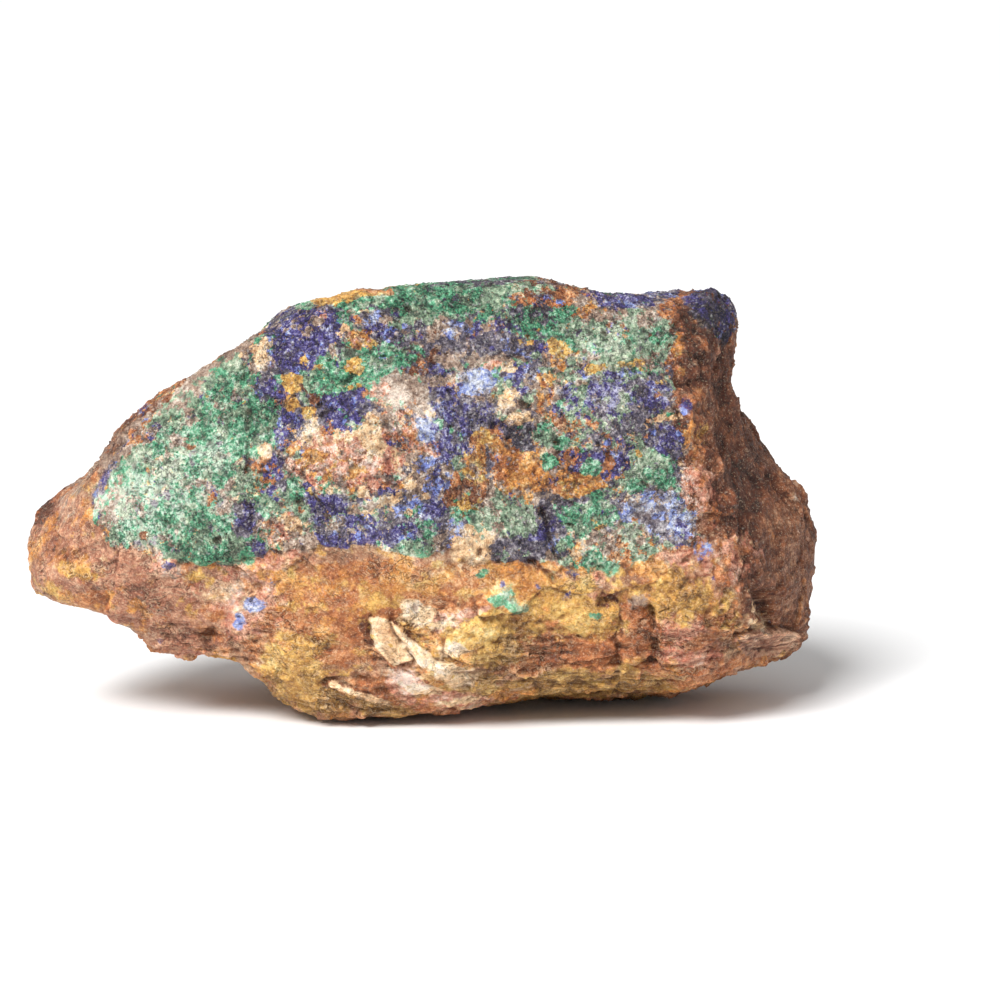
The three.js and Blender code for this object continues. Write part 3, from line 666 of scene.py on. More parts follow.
# what each of the loose flakes is made of, and how light it is
FLAKE_KIND = [("cream", 0.04), ("cream", 0.26), ("cream", 0.26), ("pink", 0.26), ("salmon", 0.12)]
# small sharp-edged spots: mineral, x, y, half width, half height, turn
SPOTS = [
    ("cream", 414, 611, 13, 9, 35), ("cream", 456, 619, 26, 6, -20), ("pink", 470, 613, 18, 4, -18), ("cream", 453, 650, 9, 5, 10), ("cream", 420, 688, 22, 5, 14),
    ("cream", 478, 548, 12, 7, -40), ("taupe", 176, 441, 8, 6, 0), ("taupe", 228, 496, 7, 13, 0), ("brown", 190, 446, 5, 4, 0), ("brown", 208, 503, 6, 5, 0),
    ("brown", 147, 535, 7, 4, 0), ("slate", 524, 437, 12, 11, 0), ("azurite", 343, 411, 17, 14, -10), ("orange", 315, 455, 10, 6, 0), ("rust", 608, 464, 6, 4, 0),
    ("cream", 759, 626, 7, 6, 0), ("periwinkle", 254, 603, 13, 6, -10), ("periwinkle", 240, 617, 6, 5, 0), ("malachite", 501, 598, 12, 6, -24),
    ("malachite", 519, 609, 12, 5, -6), ("azurite", 565, 597, 6, 5, 0), ("azurite", 503, 584, 4, 3, 0), ("taupe", 638, 602, 9, 7, 0),
    ("malachite", 484, 574, 6, 5, 0), ("malachite", 596, 616, 7, 5, 0), ("azurite", 168, 567, 7, 4, 0), ("azurite", 182, 573, 5, 3, 0),
    ("ochre", 303, 364, 7, 7, 0), ("ochre", 356, 368, 8, 7, 0), ("ochre", 292, 382, 8, 8, 0), ("ochre", 350, 387, 6, 3, 0), ("ochre", 290, 405, 6, 5, 0),
    ("cream", 266, 451, 8, 8, 0), ("cream", 519, 417, 10, 6, 0), ("malachite", 545, 434, 8, 8, 0), ("malachite", 564, 443, 7, 6, 0),
    ("malachite", 549, 461, 7, 8, 0), ("malachite", 593, 470, 9, 6, 0), ("malachite", 633, 484, 8, 5, 0), ("malachite", 598, 497, 9, 6, 0),
    ("pink", 404, 674, 10, 7, 30), ("cream", 414, 688, 9, 5, -10), ("pink", 398, 692, 7, 5, 0), ("cream", 446, 704, 13, 3, -6), ("cream", 464, 700, 12, 3, -10),
    ("cream", 392, 499, 7, 6, 0), ("cream", 408, 484, 6, 5, 0), ("pink", 388, 518, 6, 5, 20), ("cream", 409, 511, 5, 4, 0), ("cream", 427, 497, 4, 4, 0),
    ("cream", 364, 493, 5, 4, 0), ("periwinkle", 398, 508, 5, 4, 0), ("taupe", 372, 506, 5, 4, 0), ("pink", 350, 482, 5, 4, 0),
    ("periwinkle", 454, 331, 8, 7, 0), ("azurite", 687, 406, 6, 6, 0), ("ochre", 594, 368, 10, 4, 0), ("cream", 510, 368, 9, 5, 0),
]
# thin streaks and outlines: mineral, half width, strength, points
LINES = [
    ("ochre", 1.5, 1.5, [(300, 467), (306, 484), (318, 500), (330, 517)]), ("cream", 1.4, 1.6, [(450, 563), (462, 549), (476, 535)]),
    ("cream", 1.2, 1.5, [(460, 566), (472, 552), (484, 540)]), ("cream", 1.3, 1.3, [(509, 690), (560, 682), (616, 677)]),
    ("cream", 1.4, 1.4, [(638, 425), (658, 420), (677, 415)]), ("slate", 1.5, 1.5, [(429, 402), (434, 391), (444, 389), (449, 398)]),
    ("slate", 1.3, 1.3, [(458, 404), (468, 398), (479, 402)]), ("taupe", 2.6, 1.3, [(458, 362), (476, 357), (496, 356), (512, 362)]),
    ("brown", 1.6, 1.4, [(486, 448), (494, 462), (496, 484)]), ("slate", 1.8, 1.5, [(543, 511), (548, 530), (556, 554)]),
    ("brown", 1.3, 1.5, [(530, 560), (545, 570), (559, 586)]), ("malachite", 3.0, 1.3, [(401, 545), (416, 553), (434, 549)]),
    ("periwinkle", 2.2, 1.4, [(440, 546), (452, 538), (460, 528)]), ("brown", 1.4, 1.4, [(616, 592), (622, 630), (618, 663)]),
    ("brown", 1.2, 1.3, [(396, 626), (404, 640), (414, 652)]), ("azurite", 2.0, 1.3, [(650, 430), (664, 442), (684, 452)]),
    ("azurite", 1.8, 1.2, [(150, 414), (124, 446), (104, 480), (99, 517)]), ("cream", 1.2, 1.1, [(240, 356), (252, 346), (268, 336)]),
    ("brown", 1.5, 1.2, [(300, 384), (312, 400), (318, 420)]), ("slate", 1.6, 1.2, [(390, 500), (402, 512), (410, 530)]),
    ("brown", 1.5, 1.2, [(500, 440), (520, 448), (538, 462), (546, 480)]), ("brown", 1.2, 1.1, [(560, 476), (580, 486), (600, 482)]),
    ("brown", 2.6, 1.8, [(753, 587), (759, 602), (763, 618)]), ("slate", 2.0, 1.6, [(764, 592), (768, 610), (770, 626)]),
    ("cream", 1.5, 3.2, [(748, 588), (753, 604), (757, 617)]), ("cream", 1.4, 3.2, [(760, 590), (765, 606), (767, 622)]), ("salmon", 1.5, 3.0, [(769, 594), (774, 612), (775, 630)]),
    ("pink", 1.6, 1.2, [(262, 560), (290, 562), (320, 556)]), ("cream", 1.1, 1.1, [(100, 560), (130, 566), (160, 558)]),
]
# places where the crust is smooth rather than grainy
SOFT = [
    (396, 396, 36, 18, 0, 0.9), (345, 448, 44, 28, 0, 0.6), (470, 360, 42, 7, 0, 0.7), (190, 388, 62, 10, -38, 1.0), (112, 490, 14, 44, 25, 0.8),
    (478, 378, 20, 12, 0, 0.6), (380, 515, 16, 20, 0, 0.5), (472, 544, 24, 18, 0, 0.9), (655, 512, 30, 16, 0, 0.5), (516, 468, 20, 22, 0, 0.5),
    (266, 451, 10, 10, 0, 0.9), (512, 399, 12, 9, 0, 0.7), (425, 440, 16, 30, 0, 0.4),
]
KIN = {
    "azurite": [("slate", 0.66), ("periwinkle", 0.66), ("malachite", 0.16)],
    "malachite": [("sage", 0.74), ("slate", 0.30), ("ochre", 0.30)],
    "orange": [("rust", 0.70), ("ochre", 0.62), ("taupe", 0.40)],
    "pink": [("cream", 0.55), ("taupe", 0.45), ("rust", 0.55)],
    "periwinkle": [("slate", 0.55), ("taupe", 0.45)],
    "brown": [("rust", 0.40), ("salmon", 0.30)],
    "salmon": [("taupe", 0.45), ("orange", 0.50)],
}
# lighter and darker places, the same way
LIGHT = [
    (175, 480, 74, 52, -30, 0.30), (130, 510, 26, 26, 0, 0.20), (215, 455, 30, 24, 0, 0.15), (205, 550, 36, 10, 4, -0.15),
    (452, 300, 60, 16, 0, -0.25), (535, 320, 24, 18, 0, -0.28), (600, 345, 40, 22, 0, 0.25), (390, 400, 34, 20, 0, 0.30),
    (345, 450, 40, 26, 0, 0.22), (470, 392, 30, 20, 0, 0.30), (430, 430, 14, 20, 0, 0.25), (478, 378, 14, 10, 0, 0.35),
    (380, 515, 14, 20, 0, 0.25), (655, 512, 30, 16, 0, 0.25), (620, 548, 36, 18, 0, 0.12), (620, 400, 50, 26, 0, 0.05), (560, 400, 60, 40, 0, 0.08), (500, 350, 40, 14, 0, 0.10), (600, 530, 40, 24, 0, 0.10),
    (524, 437, 14, 13, 0, -0.35), (516, 550, 28, 11, 0, -0.15), (500, 590, 20, 10, 0, 0.35), (518, 609, 12, 7, 0, 0.30),
    (740, 470, 24, 70, 0, -0.24), (722, 365, 12, 40, 0, -0.28), (790, 560, 22, 80, 0, 0.22), (686, 365, 14, 60, 0, -0.22),
    (712, 310, 22, 22, 0, -0.62), (300, 348, 20, 16, 0, -0.12), (342, 411, 18, 14, 0, -0.12), (100, 450, 22, 70, 50, -0.22), (640, 545, 26, 16, 0, 0.1),
    (568, 655, 44, 15, 0, -0.25), (420, 650, 60, 30, 20, 0.08), (352, 592, 40, 20, 0, -0.05), (385, 612, 22, 8, 0, -0.25), (478, 630, 30, 14, 0, 0.25),
    (700, 600, 46, 22, 0, -0.14), (690, 642, 50, 26, 0, -0.18), (640, 600, 22, 40, 0, -0.12), (250, 590, 30, 34, 0, 0.25), (60, 545, 40, 30, 0, -0.12), (140, 606, 30, 28, 20, -0.15), (43, 510, 12, 18, 0, -0.3), (185, 585, 40, 20, 0, 0.05), (560, 690, 90, 10, 0, -0.12),
    (330, 705, 70, 12, 0, -0.15), (725, 555, 30, 34, 0, 0.04), (454, 331, 8, 6, 0, 0.5), (617, 391, 10, 6, 0, 0.4),
    (408, 681, 20, 16, 0, 0.35), (454, 651, 14, 8, 0, 0.35), (416, 611, 16, 11, 30, 0.30), (446, 619, 20, 9, -18, 0.30), (452, 702, 26, 7, 0, 0.22),
]


def coverage(co, no):
    """How much of each mineral there is at each point, and its tone, crust and facing."""
    X, Y, front, crust = places(co, no)
    n = len(co)
    got = {m: np.zeros(n) for m in NAMES}
    there = front > 0.01
    x, y = X[there], Y[there]
    for m in NAMES:
        s = np.zeros(len(x))
        for zx, zy, rx, ry, turn, strength in ZONES[m]:
            s = np.maximum(s, strength * np.exp(-0.7 * oval(x, y, zx, zy, rx, ry, turn) ** 1.5))
        got[m][there] = s * front[there]
    sx, sy = crisp(co[there])
    frayed = fbm(co[there] / 0.0016, 2, 209)
    for (height, way, poly), (mineral, _) in zip(FLAKES, FLAKE_KIND):
        d, t = flake_at(sx, sy, way, poly)
        low_side = smooth(0.3, -0.5, t)
        on = smooth(-0.8, 0.8, d + 3.0 * frayed * low_side)
        # painted shadow: brown laid just outside each flake's high edge
        flake_shadow = np.exp(-((d + 1.6) / 1.3) ** 2) * smooth(0.0, 0.6, t) * smooth(-0.5, 0.2, frayed)
        for m in NAMES:
            got[m][there] *= 1 - 0.7 * on * front[there]
        got[mineral][there] = np.maximum(got[mineral][there], 1.9 * on * front[there])
        got["ochre"][there] = np.maximum(got["ochre"][there], 1.5 * on * smooth(0.1, 0.6, frayed) * front[there])
        got["brown"][there] = np.maximum(got["brown"][there], 1.2 * flake_shadow * front[there])
    for mineral, zx, zy, rx, ry, turn in SPOTS:
        wobble = 1.2 * fbm(co[there] / 0.0026, 3, int(zx) + 7 * int(zy))
        on = smooth(0.45, -0.45, oval(sx, sy, zx, zy, rx, ry, turn) - 1 + wobble)
        for m in NAMES:
            got[m][there] *= 1 - 0.5 * on * front[there]
        got[mineral][there] = np.maximum(got[mineral][there], 1.5 * on * front[there])
    for mineral, half, strength, line in LINES:
        on = np.exp(-(along(sx, sy, line) / half) ** 2) * smooth(-0.55, 0.1, frayed)
        got[mineral][there] = np.maximum(got[mineral][there], strength * on * front[there])
    # each mineral comes with its kin
    for m, kin in KIN.items():
        for other, part in kin:
            got[other] = np.maximum(got[other], part * np.minimum(got[m], 1.0))
    a = fbm(co / 0.010, 4, 201)
    b = fbm(co / 0.010, 4, 202)
    c = fbm(co / 0.018, 4, 203)
    d = fbm(co / 0.006, 3, 204)
    bed = fbm(co * np.array([0.35, 0.35, 1.3]) / 0.007, 4, 205)
    bare = 1 - crust
    got["malachite"] += crust * (0.36 * smooth(-0.15, 0.45, a))
    got["cream"] += crust * 0.30 * smooth(0.15, 0.5, b - d)
    got["brown"] += crust * 0.26 * smooth(0.15, 0.6, -b - d)
    got["sage"] += crust * (0.46 * smooth(-0.3, 0.5, b))
    got["azurite"] += crust * (0.40 * smooth(0.0, 0.5, d - 0.5 * a))
    got["slate"] += crust * (0.14 + 0.20 * smooth(0.0, 0.5, fbm(co / 0.0030, 3, 210)))
    got["taupe"] += crust * (0.14 + 0.24 * smooth(-0.1, 0.4, c - a))
    got["orange"] += crust * 0.28 * smooth(-0.05, 0.45, 0.8 * b - 0.6 * a)
    got["rust"] += crust * 0.30 * smooth(0.0, 0.45, d + 0.4 * c) + bare * 0.05
    got["pink"] += crust * 0.12 * smooth(0, 0.4, c) + bare * 0.20 * smooth(0.1, 0.6, b)
    aside = smooth(-5, 6, inside(X, Y, SIDE)) * front
    bare = bare * (1 - 0.65 * aside)
    got["ochre"] += bare * 0.40 * smooth(-0.1, 0.5, bed)
    got["rust"] += bare * 0.42 * smooth(-0.2, 0.5, -bed)
    got["salmon"] += bare * 0.26 * smooth(-0.2, 0.5, c)
    got["olive"] += bare * 0.28 * smooth(0.0, 0.5, -c)
    got["cream"] += bare * 0.40 * smooth(0.35, 0.75, bed + 0.4 * d)
    got["orange"] += bare * 0.50 * smooth(-0.1, 0.45, a)
    got["brown"] += aside * (0.5 + 0.4 * smooth(-0.2, 0.4, c))
    got["salmon"] += aside * 0.30 * smooth(-0.1, 0.5, d)
    hidden = 1 - front
    got["brown"] += hidden * bare * 0.55 * smooth(-0.3, 0.4, -bed + 0.3 * a)
    got["malachite"] += hidden * crust * 0.45
    got["azurite"] += hidden * crust * 0.45 * smooth(0.0, 0.4, b)
    got["malachite"] += bare * 0.22 * smooth(0.45, 0.75, d)
    got["azurite"] += bare * 0.20 * smooth(0.5, 0.8, fbm(co / 0.005, 3, 206))
    for k, m in enumerate(NAMES):
        got[m] *= 1 + 0.55 * crust * fbm(co / 0.0019, 2, 380 + k)
        got[m] *= np.clip(0.80 + 0.95 * fbm(co / 0.0042, 3, 300 + k) + 0.35 * fbm(co / 0.013, 2, 340 + k), 0.12, 1.9)
    tone = 0.5 + 0.75 * fbm(co / 0.0045, 4, 207) + 0.25 * fbm(co / 0.02, 2, 208)
    shift = np.zeros(len(x))
    for zx, zy, rx, ry, turn, amount in LIGHT:
        shift += amount * np.exp(-0.7 * oval(x, y, zx, zy, rx, ry, turn) ** 1.5)
    tone[there] += 1.4 * shift * front[there]
    for (height, way, poly), (_, lift) in zip(FLAKES, FLAKE_KIND):
        tone[there] += 1.4 * lift * smooth(-0.8, 0.8, inside(sx, sy, poly)) * front[there]
    tone -= 0.07 * (1 - crust)
    tone = np.clip(tone, -0.6, 1.6)
    return got, tone, crust, front


def hollows(me, co, no, rounds):
    """Above 0.5 in crevices, below it on crests."""
    flat = relax(co, edges_of(me), rounds, step=0.8)
    sunk = ((flat - co) * no).sum(1)
    return np.clip(0.5 + sunk / (3.2 * np.std(sunk)), 0, 1)


def store(me, table, dips, beds, sparks):
    """Sixteen numbers a point in four colour attributes, four more for hollows, one for sparkle."""
    for k in range(4):
        layer = me.attributes.new("cover%d" % k, "FLOAT_COLOR", "POINT")
        layer.data.foreach_set("color", np.ascontiguousarray(table[:, 4 * k:4 * k + 4], dtype=np.float32).ravel())
    layer = me.attributes.new("hollow", "FLOAT_COLOR", "POINT")
    layer.data.foreach_set("color", np.ascontiguousarray(dips, dtype=np.float32).ravel())
    layer = me.attributes.new("beds", "FLOAT", "POINT")
    layer.data.foreach_set("value", np.ascontiguousarray(beds, dtype=np.float32))
    layer = me.attributes.new("spark", "FLOAT", "POINT")
    layer.data.foreach_set("value", np.ascontiguousarray(sparks, dtype=np.float32))


class Ground:
    """A surface with all that its material and its crystals need to know."""

    def __init__(self, me, fine, broad):
        self.me, self.co, self.no = me, to_arrays(me), normals_of(me)
        smooth_no = facing(self.co)
        values, tone, self.crust, self.front = coverage(self.co, smooth_no)
        self.table = np.stack([values[m] for m in NAMES] + [tone, self.crust], 1)
        # pits: crystals thin out there, and the material paints shade in them
        self.pit = smooth(0.20, 0.42, fbm(self.co / 0.0019, 3, 501)) * (0.25 + 0.75 * self.crust)
        self.look = smooth(-0.45, -0.12, faces_eye(self.co, smooth_no)) * smooth(0.0012, 0.0045, self.co[:, 2])
        self.dips = np.stack([hollows(me, self.co, self.no, fine), hollows(me, self.co, self.no, broad), self.front, self.pit], 1)
        self.beds = np.zeros(len(self.co))
        X, Y, front, crust = places(self.co, smooth_no)
        soft = np.zeros(len(self.co))
        for zx, zy, rx, ry, turn, amount in SOFT:
            soft = np.maximum(soft, amount * np.exp(-0.7 * oval(X, Y, zx, zy, rx, ry, turn) ** 1.5) * front)
        self.dips[:, 2] = soft
        for zx, zy, rx, ry, turn, amount in BEDDED:
            self.beds = np.maximum(self.beds, amount * np.exp(-0.7 * oval(X, Y, zx, zy, rx, ry, turn) ** 1.5) * front)
        self.beds = np.maximum(self.beds, 0.55 * (1 - crust) * (1 - front) * smooth(0.0, 0.4, fbm(self.co / 0.015, 2, 511)))
        store(me, self.table, self.dips, self.beds, np.zeros(len(self.co)))
        tri = np.empty(len(me.polygons) * 3, np.int32)
        me.polygons.foreach_get("vertices", tri)
        self.tri = tri.reshape(-1, 3)


whole = Ground(body, 3, 24)
near_side = Ground(face_skin, 4, 50)
say("coverage")


def linear(rgb):
    return tuple((v / 255 / 12.92) if v / 255 <= 0.04045 else ((v / 255 + 0.055) / 1.055) ** 2.4 for v in rgb) + (1.0,)


class Graph:
    """A few short words for building node trees."""

    def __init__(self, name):
        self.material = bpy.data.materials.new(name)
        self.material.use_nodes = True
        self.tree = self.material.node_tree
        self.shader = self.tree.nodes["Principled BSDF"]

    def node(self, kind, **facts):
        n = self.tree.nodes.new(kind)
        for k, v in facts.items():
            setattr(n, k, v)
        return n

    def wire(self, value, socket):
        if isinstance(value, bpy.types.NodeSocket):
            self.tree.links.new(value, socket)
        else:
            socket.default_value = value

    def math(self, op, a, b=0.0, c=0.0, clamp=False):
        n = self.node("ShaderNodeMath", operation=op, use_clamp=clamp)
        for k, v in enumerate((a, b, c)):
            self.wire(v, n.inputs[k])
        return n.outputs[0]

    def vmath(self, op, a, b=(0, 0, 0), scale=None):
        n = self.node("ShaderNodeVectorMath", operation=op)
        self.wire(a, n.inputs[0])
        if scale is None:
            self.wire(b, n.inputs[1])
        else:
            self.wire(scale, n.inputs["Scale"])
        return n.outputs[0]

    def blend(self, factor, a, b, mode="MIX"):
        n = self.node("ShaderNodeMix", data_type="RGBA", blend_type=mode)
        self.wire(factor, n.inputs[0])
        self.wire(a, n.inputs[6])
        self.wire(b, n.inputs[7])
        return n.outputs[2]

    def ramp(self, factor, stops):
        n = self.node("ShaderNodeValToRGB")
        self.wire(factor, n.inputs[0])
        ends = n.color_ramp.elements
        for k, (place, rgb) in enumerate(stops):
            e = ends[k] if k < 2 else ends.new(place)
            e.position = place
            e.color = linear(rgb)
        return n.outputs[0]

    def noise(self, where, scale, detail=3.0, rough=0.55):
        n = self.node("ShaderNodeTexNoise")
        self.wire(where, n.inputs["Vector"])
        n.inputs["Scale"].default_value = scale
        n.inputs["Detail"].default_value = detail
        n.inputs["Roughness"].default_value = rough
        return n.outputs[0]

    def cells(self, where, scale):
        n = self.node("ShaderNodeTexVoronoi", voronoi_dimensions="3D", feature="F1")
        self.wire(where, n.inputs["Vector"])
        n.inputs["Scale"].default_value = scale
        return n

    def layers(self):
        out = []
        for k in range(4):
            a = self.node("ShaderNodeAttribute", attribute_name="cover%d" % k)
            s = self.node("ShaderNodeSeparateColor")
            self.tree.links.new(a.outputs["Color"], s.inputs[0])
            out += [s.outputs[0], s.outputs[1], s.outputs[2], a.outputs["Alpha"]]
        return out


def stone_material():
    g = Graph("crusted_stone")
    upright = g.node("ShaderNodeTexCoord").outputs["Object"]
    tilt = g.node("ShaderNodeVectorRotate", rotation_type="EULER_XYZ")
    g.wire(upright, tilt.inputs["Vector"])
    tilt.inputs["Rotation"].default_value = (0.61, 0.43, 0.87)
    here = tilt.outputs[0]
    jitter = g.node("ShaderNodeTexNoise")
    g.wire(here, jitter.inputs["Vector"])
    jitter.inputs["Scale"].default_value = 1900.0
    jitter.inputs["Detail"].default_value = 1.0
    bent = g.vmath("ADD", here, g.vmath("SCALE", jitter.outputs["Color"], scale=0.00036))
    fine = g.cells(bent, 2000.0)
    layers = g.layers()
    tone, crust = layers[14], layers[15]
    bare = g.math("SUBTRACT", 1.0, crust)
    spark = g.node("ShaderNodeAttribute", attribute_name="spark").outputs["Fac"]
    split = g.node("ShaderNodeSeparateColor")
    g.tree.links.new(fine.outputs["Color"], split.inputs[0])
    pick, glint = split.outputs[0], split.outputs[1]
    # how light each grain is, along the ramp of its mineral
    grain = g.noise(here, 900.0, 6.0, 0.74)
    dip = g.node("ShaderNodeAttribute", attribute_name="hollow")
    parts = g.node("ShaderNodeSeparateColor")
    g.tree.links.new(dip.outputs["Color"], parts.inputs[0])
    near, far, soft = parts.outputs[0], parts.outputs[1], parts.outputs[2]
    gritty = g.math("MULTIPLY", crust, g.math("MULTIPLY_ADD", soft, -0.85, 1.0, clamp=True))
    level = g.math("MULTIPLY", grain, g.math("MULTIPLY_ADD", gritty, 0.70, 1.95))
    level = g.math("MULTIPLY_ADD", tone, 0.52, level)
    level = g.math("MULTIPLY_ADD", bare, -0.11, level)
    level = g.math("ADD", level, g.math("MULTIPLY", gritty, g.math("MULTIPLY_ADD", pick, 0.36, -0.62)))
    level = g.math("ADD", level, g.math("MULTIPLY_ADD", spark, 0.55, -0.56), clamp=True)
    # each grain takes the mineral whose cover there, times its own luck, is highest
    best, colour = -1.0, None
    sharp = g.math("MULTIPLY_ADD", crust, 8.5, 2.6)
    swing = g.math("MULTIPLY_ADD", crust, 1.9, 2.3)
    lift = g.math("MULTIPLY_ADD", crust, -0.95, -0.40)
    lucky = g.math("MULTIPLY_ADD", crust, 0.13, 0.02)
    for k, name in enumerate(NAMES):
        luck = g.node("ShaderNodeTexWhiteNoise", noise_dimensions="4D")
        g.tree.links.new(fine.outputs["Color"], luck.inputs["Vector"])
        luck.inputs["W"].default_value = 1.7 * k + 0.3
        patch = g.noise(g.vmath("ADD", here, (0.13 * k, 0.07 * k, 0.19 * k)), 600.0, 5.0, 0.70)
        chance = g.math("MULTIPLY_ADD", patch, swing, lift)
        chance = g.math("MULTIPLY_ADD", luck.outputs["Value"], lucky, chance)
        score = g.math("MULTIPLY", layers[k], g.math("MAXIMUM", chance, 0.05))
        tint = g.ramp(level, MINERALS[name])
        if colour is None:
            best, colour = score, tint
        else:
            wins = g.math("MULTIPLY_ADD", g.math("SUBTRACT", score, best), sharp, 0.5, clamp=True)
            colour = g.blend(wins, colour, tint)
            best = g.math("MAXIMUM", score, best)
    # painted shade in the crevices in a warm brown, a painted highlight on the crests, painted shade in the pits and
    # pores, and painted glints on a few grains
    # painted shade: the deeper a fine or broad hollow, the darker the colour
    crevice_shade = g.math("ADD", g.math("MULTIPLY_ADD", near, 1.9, -1.08, clamp=True), g.math("MULTIPLY_ADD", far, 1.7, -1.02, clamp=True), clamp=True)
    colour = g.blend(g.math("MULTIPLY", crevice_shade, g.math("MULTIPLY_ADD", crust, 0.14, 0.60)), colour, linear((112, 66, 48)), "MULTIPLY")
    # painted highlight: crests made lighter
    crest_highlight = g.math("MULTIPLY", g.math("MULTIPLY_ADD", near, -2.2, 0.92, clamp=True), 0.80)
    colour = g.blend(crest_highlight, colour, (1.45, 1.38, 1.30, 1.0), "MULTIPLY")
    # painted shade in the pits between clumps of crystals
    colour = g.blend(g.math("MULTIPLY", dip.outputs["Alpha"], 0.62), colour, linear((38, 28, 30)))
    # painted shade in the net of gaps between the crust's grains, which the bump also lowers
    worm = g.node("ShaderNodeTexNoise")
    g.wire(here, worm.inputs["Vector"])
    worm.inputs["Scale"].default_value = 640.0
    worm.inputs["Detail"].default_value = 4.0
    worm.inputs["Roughness"].default_value = 0.62
    worm.inputs["Distortion"].default_value = 0.7
    net = g.math("MULTIPLY_ADD", g.math("ABSOLUTE", g.math("SUBTRACT", worm.outputs[0], 0.5)), -24.0, 1.0, clamp=True)
    where = g.math("MULTIPLY_ADD", g.noise(here, 150.0, 3.0), 5.0, -1.9, clamp=True)
    net = g.math("MULTIPLY", net, g.math("MULTIPLY_ADD", where, 0.54, 0.15))
    net = g.math("MULTIPLY", net, gritty)
    colour = g.blend(net, colour, linear((34, 27, 38)))
    # painted shade in the crust's tiny pores
    pore_shade = g.math("MULTIPLY", g.math("MULTIPLY_ADD", g.noise(here, 1250.0, 4.0, 0.68), 16.0, -8.8, clamp=True), g.math("MULTIPLY_ADD", gritty, 0.50, 0.18))
    colour = g.blend(pore_shade, colour, linear((34, 26, 32)))
    fleck = g.noise(here, 2300.0, 3.0, 0.70)
    pale_fleck = g.math("MULTIPLY", g.math("MULTIPLY_ADD", fleck, 22.0, -13.0, clamp=True), g.math("MULTIPLY_ADD", crust, -0.16, 0.36))
    colour = g.blend(pale_fleck, colour, linear((250, 224, 188)))
    dark_fleck = g.math("MULTIPLY", g.math("MULTIPLY_ADD", fleck, -22.0, 9.1, clamp=True), g.math("MULTIPLY_ADD", crust, -0.14, 0.42))
    colour = g.blend(dark_fleck, colour, linear((82, 44, 26)))
    # painted glints: a few grains made near white
    sparkle = g.math("MULTIPLY", g.math("GREATER_THAN", glint, 0.965), g.math("MULTIPLY_ADD", gritty, 0.22, 0.08))
    colour = g.blend(sparkle, colour, linear((214, 212, 210)))
    milk = g.math("MULTIPLY_ADD", g.noise(g.vmath("MULTIPLY", upright, (1.0, 1.0, 1.6)), 420.0, 7.0, 0.74), 5.0, -2.75, clamp=True)
    colour = g.blend(g.math("MULTIPLY", milk, g.math("MULTIPLY", bare, g.math("MULTIPLY_ADD", far, -0.9, 0.60, clamp=True))), colour, linear((244, 212, 176)))
    # thin iron-stained veins through the matrix
    vein = g.node("ShaderNodeTexNoise")
    g.wire(g.vmath("MULTIPLY", upright, (1.0, 1.0, 1.9)), vein.inputs["Vector"])
    vein.inputs["Scale"].default_value = 220.0
    vein.inputs["Detail"].default_value = 5.0
    vein.inputs["Distortion"].default_value = 1.2
    thread = g.math("MULTIPLY_ADD", g.math("ABSOLUTE", g.math("SUBTRACT", vein.outputs[0], 0.5)), -44.0, 1.0, clamp=True)
    thread = g.math("MULTIPLY", thread, g.math("MULTIPLY_ADD", crust, -0.40, 0.45))
    colour = g.blend(thread, colour, linear((112, 54, 24)))
    # fine dark cracks in the bare matrix, each with a painted highlight along its edge
    crazed = g.node("ShaderNodeTexNoise")
    g.wire(g.vmath("MULTIPLY", upright, (1.0, 1.0, 1.5)), crazed.inputs["Vector"])
    crazed.inputs["Scale"].default_value = 360.0
    crazed.inputs["Detail"].default_value = 5.0
    crazed.inputs["Roughness"].default_value = 0.62
    crazed.inputs["Distortion"].default_value = 0.9
    broken = g.math("MULTIPLY", bare, g.math("MULTIPLY_ADD", g.math("MULTIPLY_ADD", g.noise(here, 110.0, 3.0), 6.0, -2.6, clamp=True), 0.62, 0.10))
    crack = g.math("MULTIPLY_ADD", g.math("ABSOLUTE", g.math("SUBTRACT", crazed.outputs[0], 0.47)), -42.0, 1.0, clamp=True)
    crack = g.math("MULTIPLY", crack, broken)
    crack_edge_highlight = g.math("MULTIPLY_ADD", g.math("ABSOLUTE", g.math("SUBTRACT", crazed.outputs[0], 0.515)), -36.0, 1.0, clamp=True)
    # painted highlight beside each crack
    colour = g.blend(g.math("MULTIPLY", crack_edge_highlight, g.math("MULTIPLY", broken, g.math("MULTIPLY_ADD", layers[NAMES.index("brown")], -0.60, 0.50, clamp=True))), colour, linear((250, 224, 184)))
    colour = g.blend(crack, colour, linear((52, 27, 15)))
